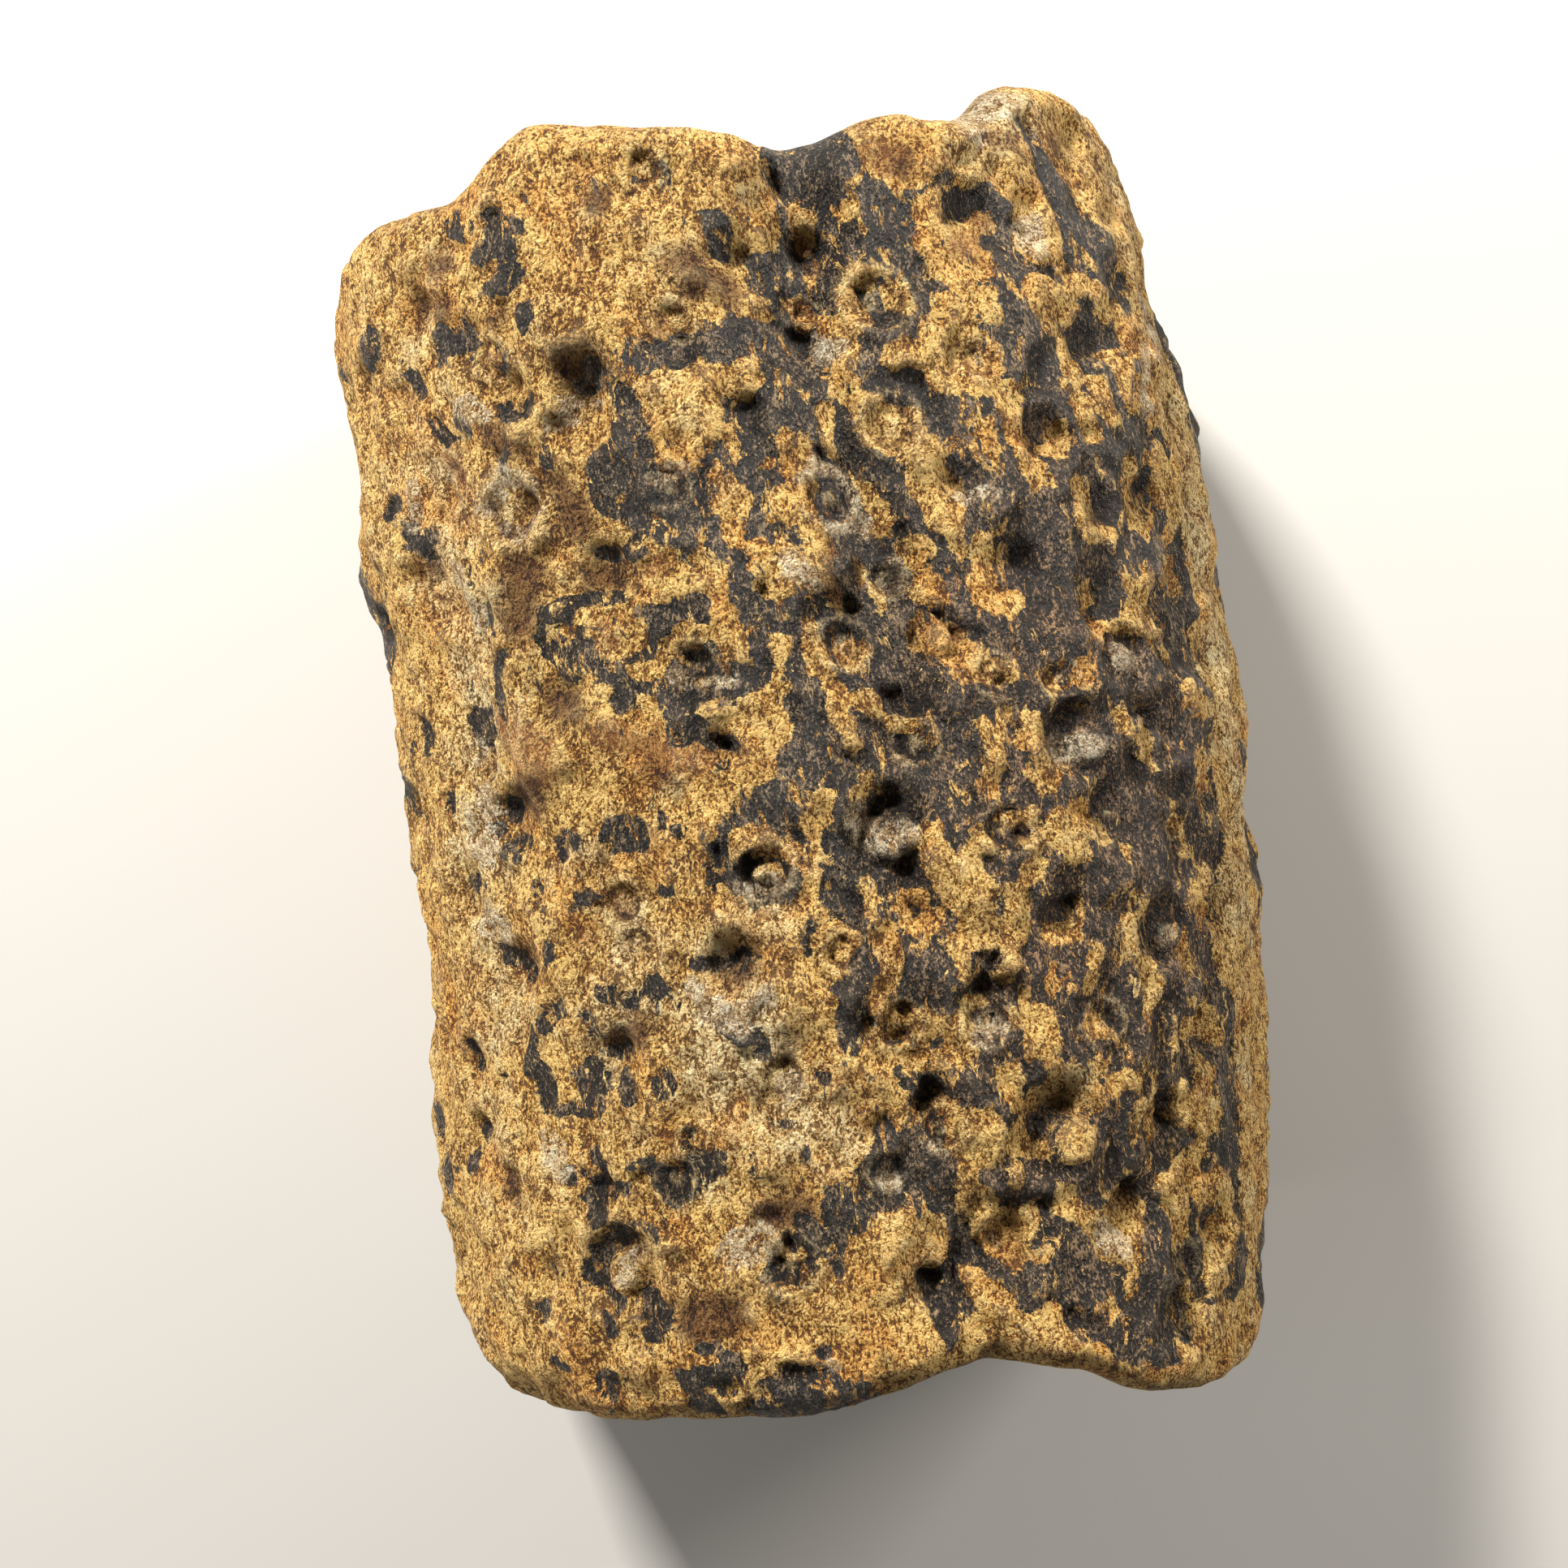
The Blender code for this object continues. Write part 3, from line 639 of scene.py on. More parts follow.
# Marks: half width, then the s, t of the points that a mark runs through
MARKS: dict[Tone, tuple] = {
    Tone.CHARCOAL: (
        # Left flank and shoulder, far end first
        (1.3, (-24.2, 62.4)), (1.5, (-23.6, 58.9)), (1.2, (-26.2, 59.2)), (0.7, (-21.5, 60.4)),
        (1.1, (-24.6, 60.8)), (0.9, (-29, 63.6), (-27.3, 62.5)),
        (1.0, (-24.2, 55.4), (-22.9, 55.8)), (0.7, (-25.6, 55.2)),
        (1.4, (-34.2, 51.4), (-31.5, 51.4)), (0.7, (-36, 51)), (0.9, (-22.8, 52), (-22.6, 50.4)),
        (1.0, (-41.5, 50.2), (-40.9, 48.6)), (1.2, (-28, 48.3)), (1.0, (-47.6, 56), (-48.2, 54)),
        (0.6, (-11.8, 63.4)), (0.7, (-8.6, 62.4)), (0.6, (-6.1, 63.4)),
        (1.3, (-27.6, 42.4), (-26, 42.4)), (0.6, (-24.3, 43), (-22.8, 42.6)),
        (0.8, (-17.4, 45.2), (-16.8, 44.6)), (1.0, (-19.4, 43.2), (-17.6, 43.4)),
        (0.9, (-15.6, 42.4), (-14.4, 42)), (1.1, (-14.2, 41.5), (-14, 38.5)),
        (1.2, (-12.6, 45.6), (-10, 44.6)), (1.2, (-2, 57.5), (-1.8, 55)),
        (1.0, (-39.3, 44.5), (-37.4, 41.8)), (0.9, (-34.8, 44.2), (-33.6, 41.8)),
        (0.5, (-29, 38.6), (-29, 36.6)), (0.7, (-24, 36.6)), (1.2, (-50.6, 37.6), (-48.8, 37.4)),
        (1.3, (-47, 32.6), (-45.6, 30.6)), (0.8, (-44, 32)), (0.3, (-38, 28.4), (-38, 26.8)),
        (0.4, (-35, 28.5)), (0.9, (-36.5, 22.8), (-34.8, 21.6)), (0.6, (-20, 26.6), (-16, 26.4)),
        # Round the eye left of the middle
        (0.5, (-14.4, 13.4), (-12.7, 11.7), (-11, 13.4), (-12.7, 15)),
        (1.0, (-34.8, 17), (-37, 15.6), (-36.8, 13)), (0.5, (-32.8, 17.4)),
        (1.0, (-14, 7.6), (-13, 7)), (0.9, (-12.6, 5), (-11, 4.5)), (0.5, (-12, 2.2)),
        # Left flank, past the middle
        (1.8, (-43.6, 11.6), (-42, 11.2)), (1.3, (-52, 12.6), (-52, 11)), (0.6, (-44, 15.4)),
        (0.6, (-48.5, 3.8), (-48.5, 3)), (1.0, (-39.8, 1.6)), (0.9, (-41.6, 0)),
        (1.3, (-40, -2.6), (-37.4, -3)), (1.2, (-30, -2), (-30, -3.2)),
        (1.2, (-24.5, -2.4), (-22, -2.6)), (0.8, (-29, -8.6), (-27.6, -8.6)),
        (0.5, (-34.2, -7), (-34.4, -9)), (0.5, (-44.5, -7.3)), (0.7, (-48.2, -6.4), (-47, -6.6)),
        (1.0, (-42.5, -14.4), (-38.6, -15.8)), (0.8, (-33.4, -14)),
        (0.8, (-27.5, -18.6), (-24, -19.2), (-20, -18.4)), (1.1, (-33, -20), (-36, -21.4)),
        (0.8, (-38.4, -23), (-39, -25.5)), (1.0, (-38.2, -27), (-36, -29)),
        (1.6, (-30.5, -28.4), (-29, -28)), (0.6, (-34, -30), (-29, -30.6)),
        (0.7, (-27.6, -24.6), (-26, -24.6)), (0.5, (-28.6, -22.2)), (0.8, (-25.4, -28), (-25, -30)),
        (0.9, (-21.4, -27.4), (-21, -29.6)), (0.6, (-50.2, -24), (-50, -26.6)), (0.5, (-45, -27.4)),
        (0.5, (-30, -20.4)),
        # Near the crest, past the middle
        (0.4, (-18.6, -2)), (0.5, (-16.5, -3)), (0.5, (-19, -8.4)),
        (0.4, (-14.4, -6), (-14.2, -9.6)), (0.8, (-16.4, -16.4)),
        (0.5, (-14.4, -16.3), (-12.5, -15.9), (-10.8, -16.8)),
        (0.6, (-13.2, -22.6), (-11.2, -24.2)), (0.6, (-10.6, -24.2), (-10, -26.4)),
        (0.5, (-4.4, -29.4), (-3.6, -29.6)), (0.5, (-7.8, -33.5), (-6.9, -33.3)),
        (0.3, (-5, -36), (-5, -38)), (0.3, (-11, -35.4), (-11, -37.4)),
        # Towards the near end
        (0.6, (-27.8, -36), (-28, -39)), (1.2, (-29, -39.4), (-28, -39.6)), (0.8, (-25.8, -39.2)),
        (0.7, (-24, -36.6), (-22, -36.8)), (1.3, (-21.4, -38.6), (-20, -40)),
        (1.3, (-18, -37.2), (-15, -37)), (1.0, (-17, -39.2)), (0.6, (-18.4, -33.8)),
        (0.8, (-28.6, -41.8)),
        (0.8, (-29.4, -44), (-30.4, -47), (-29.6, -49.6), (-27.5, -51), (-25.5, -51)),
        (0.7, (-29, -44), (-26, -44)), (1.0, (-24.6, -43), (-22.8, -43.6)), (0.8, (-28.8, -53)),
        (1.5, (-23.4, -50.6), (-23, -53)), (1.2, (-38, -51.6), (-36.4, -51)), (0.7, (-35.3, -57)),
        (1.4, (-29.6, -60.4), (-29, -59.4)), (0.3, (-35.3, -48.7)),
        (0.8, (-17.4, -54.8), (-16.2, -54.8)), (1.6, (-19.6, -59), (-16, -58.6)),
        (1.4, (-14.4, -57)), (0.9, (-21, -61.6), (-19.6, -62)), (2.4, (-9, -60), (-7, -61)),
        (2.2, (-9, -63)), (1.6, (-13.5, -63)), (1.2, (-4, -61.4), (-3, -61.8)), (0.5, (-5.2, -57)),
        (0.9, (-8.6, -45.8)), (1.0, (-6.2, -44.6), (-5.6, -45.8)),
        (1.2, (-9.8, -48.2), (-6.8, -48.8)), (0.4, (-3.5, -47.4), (-3.5, -49)),
        (0.8, (-53, -37), (-51.6, -36.6)), (0.5, (-32, -37), (-31, -38.4)),
        (0.4, (-50, -33), (-50, -34.6)),
        # Right flank, in its pale rim
        (0.8, (44.5, 39.6)), (0.9, (46.5, 47.6)), (0.8, (42, 24.6)), (0.7, (45, 19.2)),
        (0.8, (37.2, 67), (38, 61)), (0.5, (38.5, -50.4), (38.6, -52.6)),
    ),
    Tone.OCHRE: (
        # Between the far end and the beans of the upper right
        (1.0, (8, 57.3), (8.2, 55.5)), (0.7, (12.5, 57.3)), (1.0, (11.3, 49.5), (11.2, 46.8)),
        (0.7, (12.5, 50.8), (14.2, 50.8)), (0.6, (16, 49), (15.8, 46.8)),
        (1.0, (6.3, 48.6), (6.2, 46.6)), (0.8, (8.2, 46.5), (8.8, 43), (8.6, 38.5)),
        (1.8, (21.2, 56.5), (21.5, 53), (22.3, 51)), (1.2, (24.4, 54.5), (24.8, 50.5)),
        (1.0, (27.3, 56)), (0.9, (22.7, 48.6), (23, 46.8)), (1.1, (25, 46.6), (25.2, 45)),
        (3.0, (20, 43.5), (21.5, 40)), (1.0, (18.5, 38.3), (21, 37.6)),
        (1.4, (14, 42.2), (15.5, 41.5)), (1.3, (33, 53.6), (32.6, 52.6)),
        (0.8, (35.6, 53), (36, 50.8)), (2.2, (31.5, 46.8), (34.3, 46.6)),
        (1.0, (31.5, 45), (31.6, 43.8)), (1.6, (38.5, 48.6), (41, 46.8)), (0.8, (41, 52)),
        (0.8, (33.7, 42), (33.5, 38.8)), (1.2, (36.8, 38.2), (37.2, 36.6)),
        (0.9, (33, 37.6), (33.6, 34.5), (34.3, 32.4)), (1.1, (36.2, 34.8), (37.6, 34.5)),
        (1.4, (41.3, 41), (41.8, 37)), (1.2, (24.7, 36.5), (25, 33), (25.8, 29), (26, 27.8)),
        (0.9, (21.2, 32.6), (21.5, 30.8)), (2.2, (10.5, 35.6), (12.5, 34.5)),
        (1.2, (13.5, 33), (15.5, 31.8)), (1.7, (15, 30), (15.3, 27), (15.2, 25)),
        (0.8, (15.3, 24), (15.6, 21.4)), (1.0, (11.8, 22.5), (11.3, 21)),
        (0.7, (5.5, 36.5), (5.6, 33.5)),
        # Down the furrow
        (1.4, (1.5, 34), (1.8, 31), (1.6, 28)), (1.0, (1.3, 27), (1.4, 24.5)),
        (1.2, (-1.8, 22), (0.8, 20.3)), (1.0, (-3.6, 23.4), (-3, 21.4)),
        (0.8, (-3.5, 20), (-2.3, 19.4)), (0.6, (2, 23.5), (2.5, 17.5)), (0.8, (8.7, 29), (8.8, 25)),
        (1.0, (-6.2, 31.6), (-5.3, 29.2)), (0.6, (-7, 29), (-5.8, 28.8)),
        (0.5, (-6.1, 26.6), (-5.9, 25)), (0.7, (-1, 28.2), (-0.9, 26.8)), (0.4, (-1.5, 32)),
        (0.5, (5.2, 21), (5.3, 19.7)), (0.4, (6.5, 19.2), (6.8, 18)),
        (0.8, (11.7, 18), (12.5, 17.8)), (1.7, (11.4, 14), (13.2, 12), (14, 11)),
        (0.6, (13.3, 8.7)), (1.1, (15.5, 8.8), (17.7, 8.2)), (0.5, (-3.8, 13.4), (-3.8, 12.6)),
        (0.5, (-1.2, 15), (-0.6, 10.8)), (0.4, (0.2, 13), (0.4, 11)), (0.5, (0.7, 9.8), (1.2, 3.2)),
        (0.5, (2.8, 7.8), (3, 7)), (0.5, (4.2, 7.4), (4.3, 6.6)), (0.5, (6.3, 4.4), (8.8, 4)),
        (1.0, (3.3, 12.3), (4.4, 12.8)),
        # Right of the furrow, round the middle
        (0.8, (15.4, 3.3), (15.9, 0), (14.8, -2.8)), (0.9, (20.7, 2.3), (20.2, 0), (21.2, -2.6)),
        (0.7, (23.2, 7.3), (23.5, 6)), (0.4, (27, 8), (27.2, 6)),
        (0.9, (18.7, 21.2), (17.7, 19.3), (18.3, 17.5), (20, 16), (21, 15.4)),
        (1.0, (30.3, 16.2), (30.4, 15)), (1.7, (37.2, 14.5), (37.3, 12)),
        (0.5, (36, 15.8), (39.3, 15.6)), (0.5, (30.5, 11.5), (35, 11.6)),
        (0.6, (30, 10.8), (30.4, 9.8)), (0.7, (40, 10), (40.4, 8.8)),
        (1.6, (31.5, 26), (31.4, 22.5)), (0.6, (33.6, 21.5), (34.8, 21)),
        (1.2, (39.8, 28.5), (38.8, 26), (39.5, 23.8), (40.8, 22.6)),
        (1.9, (46.3, 29.5), (46.5, 26.5)), (0.6, (43, 23.6)), (0.6, (28.5, 31.2), (29.8, 31)),
        (0.6, (30, 33.6), (30.7, 32), (30.6, 30.3)), (1.5, (45, 18), (46.8, 16.6)),
        (1.6, (49.2, 8.5), (49.5, 6.5)), (0.7, (42.6, 4.6), (43, 2)), (1.2, (45, 2.5), (47, 2)),
        (0.7, (31.7, 2), (31.8, 0.3)), (1.1, (34.6, 0), (34.6, -2)),
        (0.8, (48.5, 24), (46.5, 21.5)), (1.0, (52, 20)),
        # Crest and furrow, past the middle
        (1.2, (-2.3, -2)), (0.7, (-3.5, -3.5), (-2.5, -4.6)), (0.5, (-3.6, -6.3), (-3.5, -9.6)),
        (0.6, (0.9, -2.4), (3, -1.2)), (1.2, (8.8, -7), (9.4, -9)),
        (1.6, (11, -11), (12, -14), (12.2, -17.2)), (0.5, (10.4, -18), (10.5, -21.5)),
        (0.7, (1.1, -11), (1.6, -13.6)),
        (0.7, (-3.6, -16.4), (-2.3, -15.2), (-0.9, -16.2), (-0.9, -18.2),
         (-2.4, -19.2), (-3.7, -18.2), (-3.6, -16.4)),
        (1.0, (3, -16), (3.4, -19.5)), (0.8, (2.6, -20.8), (1.6, -23.6)),
        (0.8, (5.4, -12.8), (6.8, -12.6)), (0.9, (8, -15.6)), (0.7, (5.2, -14.5), (6, -16.4)),
        (0.7, (13.2, -9.2), (14, -9.2)), (0.6, (16.5, -5.9), (18.8, -5.9)), (0.8, (18.3, -9.2)),
        (1.4, (21.5, -8.3), (24, -8.5)), (1.2, (24.5, -7.2), (24.2, -11)), (0.8, (18.4, -12)),
        (1.3, (16.6, -14), (16.5, -18)), (0.8, (15.5, -19), (14.8, -21.6)),
        (0.4, (24.7, -20.5), (24.7, -24.6)), (0.8, (20.8, -18.7), (22, -18.8)),
        (1.1, (29.6, -19.3), (30, -21)), (0.6, (31, -17.9), (32.6, -17.9)),
        (0.4, (30.6, -21.5), (31, -23.5)), (0.9, (31.5, -24), (32.4, -27)),
        (0.3, (38.5, -22), (38.6, -24)), (0.8, (27.4, -9.4), (28.2, -9.8)),
        (0.6, (44.8, -16.8), (42.3, -17.2)), (1.0, (41.2, -18), (42, -20)),
        (0.9, (42.8, -21), (44.8, -22.3)), (1.6, (46.8, -23.5), (47.5, -27)),
        (1.6, (44.2, -4), (45.5, -5.8)), (0.4, (38.3, -8.5), (38.8, -10.6)), (0.4, (41, -13)),
        (0.9, (38.9, -31.5), (39.2, -34.6)), (0.9, (42, -31.5), (44.8, -33.2)),
        (0.3, (36, -31.2), (36.1, -33.8)),
        # Lower right
        (0.9, (10.4, -26.5), (11, -29.2)), (0.6, (11.4, -24.6), (12.4, -24.6)),
        (0.6, (15.8, -25.5), (16.2, -26.6)), (1.4, (19, -27), (19.3, -30)),
        (0.6, (19.8, -31.5), (20, -33.2)), (0.7, (15.9, -32.6), (15.5, -34.6)),
        (0.6, (24.6, -28.8), (26.6, -29.8)), (0.4, (28.3, -31.5)),
        (0.5, (24.6, -32.5), (26.3, -33.5)), (1.9, (22.5, -34.8), (24, -35.8)),
        (0.6, (28, -35.4), (29.3, -35.4)), (1.0, (18.5, -36), (19.2, -35.4)),
        (1.0, (17.3, -37.5), (17.3, -39.4), (18.6, -40.6)), (1.6, (22.4, -40.4)),
        (2.2, (12, -37.5), (13, -39)), (1.0, (11.2, -41.5), (11, -44)),
        (0.3, (16.5, -42), (16.6, -43)), (0.9, (13.6, -45), (13.4, -48)),
        (0.9, (15.2, -46.6), (17, -47.4)), (0.6, (14.2, -50), (16.3, -48.8)),
        (0.8, (15.8, -50.4), (18.5, -50.6)), (0.7, (21, -46), (22, -47.4)),
        (1.8, (28.5, -48.5), (29.5, -50)), (1.2, (24.6, -49.8), (26.5, -51.6), (28.6, -53.2)),
        (0.5, (30.4, -38.5), (30.9, -40)), (0.7, (32.8, -38), (34, -41.5)),
        (0.7, (37.5, -38.5), (37.7, -41.3)), (2.2, (41.5, -38), (42, -42.5)),
        (1.2, (40.3, -45.5), (39.5, -48)), (1.1, (34.8, -47), (37.5, -47.5)),
        (1.5, (36, -50), (36.8, -53)), (1.5, (41.5, -50), (43.8, -50.5)),
        (0.8, (41, -53), (41.5, -56)), (1.0, (45.6, -52), (45.8, -57)),
        (1.3, (42.2, -57), (44, -60)), (0.4, (38.3, -58.8), (38.4, -60.2)),
        (0.9, (39, -63), (41.5, -64.5)), (0.4, (25.1, -57.5), (25.3, -58.5)),
        (0.4, (28, -55.3), (28.5, -57)), (1.3, (6.8, -46.8), (7.2, -49)),
        (0.7, (4, -28.8), (5.6, -29.2)), (0.7, (7.8, -29.3), (7.9, -30.6)),
        (1.0, (7.4, -26), (7.5, -27.4)), (1.0, (4, -24.8), (5.6, -26)),
        (0.8, (7, -30.4), (9.4, -30.2)), (0.8, (8.8, -35), (9.6, -36)),
        # Round the eye left of the middle
        (2.2, (-13.5, 22.5), (-11.5, 22.3)), (1.0, (-9.5, 20.5), (-8.3, 17.5), (-7.8, 15)),
        (0.8, (-17, 13.3), (-15, 15.6), (-12.5, 16.6), (-9.5, 15.8), (-8, 14.5)),
        (0.8, (-8, 8.6), (-4, 10.8)), (2.6, (-10.6, 6.4), (-6.8, 6.2)), (1.1, (-12.7, 13.4)),
        (0.7, (-11, -5.4), (-8.4, -4.6), (-5.8, -6)), (0.5, (-8.8, -8.6), (-8, -8)),
        (0.4, (-11.5, -6.5)), (1.2, (-10.2, 35), (-9.6, 34.2)), (0.9, (-24, 19.4), (-20, 19)),
        (0.8, (-21.5, 16.8), (-18.5, 17.6)), (0.6, (-19, 14), (-17.4, 13.4)),
        (0.6, (-27, 18.6), (-25.6, 19)),
    ),
    # Pits: hollowed in the relief, and painted black inside as shadow
    Tone.PIT: (
        (1.0, (6.4, 62.6), (6.8, 60.4)), (1.4, (27.8, 53.3)), (1.0, (4.4, 43.6)), (0.9, (36.5, 40)),
        (1.0, (11, 24.5), (11, 22)), (1.0, (17.2, 29)), (1.0, (3.5, 17.8), (4.4, 17)),
        (1.2, (14.8, 13.4), (16.8, 12.8)), (1.6, (7, 7.8), (9, 6)),
        (0.7, (29.2, 13.4), (31.4, 13.2)), (1.3, (34, 3.2), (36, 2.4)),
        (0.7, (27.4, 32), (27.4, 31)), (1.5, (6, -9.4), (8.6, -10.4)), (0.7, (6.7, -14.5)),
        (1.4, (-2, -12), (-0.4, -13.4)), (1.0, (-6.6, -4.8), (-5.2, -4.6)),
        (1.0, (27, -6.6), (28.4, -6.8)), (0.9, (21, -16), (23.2, -16.4)),
        (0.8, (33, -23.6), (34, -24.2)), (0.8, (41, -29.4)), (1.3, (12.4, -22.8), (13.8, -23.4)),
        (1.2, (7.4, -32.8), (8.6, -33.6)), (1.7, (19.6, -37.4), (21.4, -37)), (1.0, (19.6, -39.6)),
        (0.9, (16, -45.4), (19.5, -46.4)), (0.7, (13.8, -48.6)), (0.8, (27.4, -45.6), (30, -46)),
        (1.0, (6, -51.6), (7.2, -51.8)), (0.5, (9.8, -46), (9.8, -53)),
        (1.4, (21, -58), (22, -60.4)), (0.8, (35.8, -63), (36.2, -64.4)), (0.5, (43.4, -54.4)),
        (0.8, (36, -40.6), (36.2, -41.6)), (0.8, (-22.7, 51)), (0.8, (-18.5, 43.3)),
        (0.9, (-26.8, 42.4)), (0.7, (-13.5, 7.3)), (0.8, (-11.8, 4.8)), (0.8, (-39.8, 1.6)),
        (0.7, (-41.6, 0)), (1.0, (-38.8, -15.8)), (0.7, (-26.8, -24.6)), (0.7, (-8.6, -45.8)),
        (0.8, (22.6, 19.6)), (0.7, (13, 48)), (0.6, (22.5, 40.2)), (0.7, (4, 28.5)),
        (0.8, (-19.6, 24.3)), (0.7, (3.2, -4.2), (5.6, -3.6)), (0.6, (42.6, -19.4)),
        (0.6, (17.4, -6.8)), (0.7, (17.8, 7.4)),
    ),
    Tone.CREAM: (
        (0.5, (-18.8, 41.4), (-17.8, 40.8)), (0.9, (-22.8, 39.6), (-21.5, 41.6)),
        (0.4, (-39, 37.4)), (0.5, (-13.3, 33), (-9.6, 33.2)), (0.9, (-1.5, 21.4), (0.5, 20.2)),
        (0.5, (17, 27.6), (20, 27.2)), (1.3, (32.6, 8.6), (34.4, 7.4)),
        (1.5, (24.4, -0.2), (25.8, -0.6)), (0.9, (1.2, -4)), (1.6, (3, -6), (6.2, -6.4)),
        (1.1, (35.4, -21.2)), (0.5, (7.4, -39), (9.2, -39)),
        (0.6, (2.4, -41), (3.2, -42), (3.8, -41.2)), (0.9, (25, -50.4), (28, -52.8)),
        (0.4, (-4.8, -58.8)), (0.4, (18.8, -50.6)), (0.5, (15, -49.2)), (1.6, (-26.6, -47.6)),
        (1.0, (-44, 8.4)), (0.5, (-24, -13.6)), (2.0, (-44, -3), (-43, 3)),
        (1.5, (-46, -10), (-42, -11)),
        (0.7, (-17.4, -18.6), (-15.5, -21.6), (-12, -22.6), (-9.6, -20.6)),
        (1.6, (-14, -46), (-11.5, -45.4)), (1.2, (-8, -30.6)), (1.2, (33, 55.6), (32.6, 53)),
        (2.4, (28, 66), (34, 70)), (0.9, (-34, 45), (-30, 42)),
        (0.7, (-33, 33.6), (-30, 36), (-26.4, 34.6)),
        (0.6, (-31.6, 31), (-28.6, 29.6), (-26, 31.4)), (1.6, (13.3, -27)), (1.5, (8.7, 19.8)),
        (1.3, (7, 43.3)), (0.7, (2.2, 30.4), (4, 31.4), (6.2, 30), (6.6, 27.4)),
        (0.6, (3, 26), (7, 25.5)), (1.2, (51.5, 50), (52, 42)), (1.2, (-40.5, 28), (-39, 23)),
        (1.0, (-36.6, -33), (-33, -37)), (0.5, (-14.5, 12.8), (-12.4, 11.5), (-10, 11.3)),
        (0.5, (-10.4, -10), (-6.4, -9)), (1.0, (-46, 34), (-45, 38)), (0.9, (44.6, 36), (47, 42)),
    ),
    Tone.RUST: (
        (2.2, (-37.4, 38.2)), (1.4, (-11.9, 31.4)), (2.4, (-34, 9), (-31, 6)), (1.0, (2.4, 13.7)),
        (1.2, (-25, -9.5)), (0.8, (17.2, -7.5)), (0.8, (17.5, -50.5)), (1.0, (-28.5, 47.8)),
        (0.5, (23.5, 17.6)), (0.8, (-21.8, 18)), (0.6, (-42, 6.8)), (1.5, (24.6, 53)),
        (1.0, (27.4, 56)), (0.8, (42, 66)), (0.6, (-8.7, 47.3)), (0.7, (-50.2, -24.5)),
        (0.8, (-29, -12)), (1.0, (-38, -0.8)), (1.4, (-24, 8), (-14, 4)), (1.2, (14, 64), (18, 62)),
        (1.0, (7.6, 56), (8, 53)), (1.4, (-38, 12), (-36, 8)), (1.0, (-15, 24.4)), (0.9, (45, -7)),
        (0.9, (47.5, 17.5)),
    ),
    # Painted shade: brown darkening laid where the relief has hollows
    Tone.SHADE: (
        (2.2, (-19.5, 45.3), (-17.5, 45)), (1.6, (-32, 60.2)), (1.2, (-33.4, 55), (-32.2, 55)),
        (1.6, (-22.5, 24.4), (-21, 24.2)), (2.0, (-28.6, 12.2), (-27.6, 11)), (1.3, (-37.4, 18.8)),
        (1.6, (-36.6, 2.6), (-33, 2.4)), (1.5, (-18, 2.6)), (1.6, (-23.6, -22.6), (-26, -23)),
        (2.2, (-9.2, -42.6), (-7, -42.6)), (2.0, (-18.5, -52), (-15, -52)), (1.4, (-42.5, -39.6)),
        (1.0, (18.5, 61)), (1.3, (-12.6, 61)), (1.0, (-26.4, 52)), (1.0, (-6, 50)),
        (1.2, (19.3, 28.8)), (1.2, (3.8, -3.6)), (1.6, (-12.6, -18)), (0.8, (46.5, 18)),
        (1.0, (37.6, -57)), (1.1, (-46, 28.8)), (0.9, (-7.4, -26.2)),
        (0.6, (29.8, 64.4), (33.8, 63)), (0.8, (43.2, 65)), (0.8, (33, 23.4)), (0.8, (-38, 57)),
        (1.6, (4, 24), (3, 18)), (2.0, (-31, 20), (-30, 26)), (1.4, (-27, 38), (-30, 40.6)),
        (1.6, (-22, 30), (-23, 34)), (1.6, (-6, 54), (-2, 50)),
    ),
}


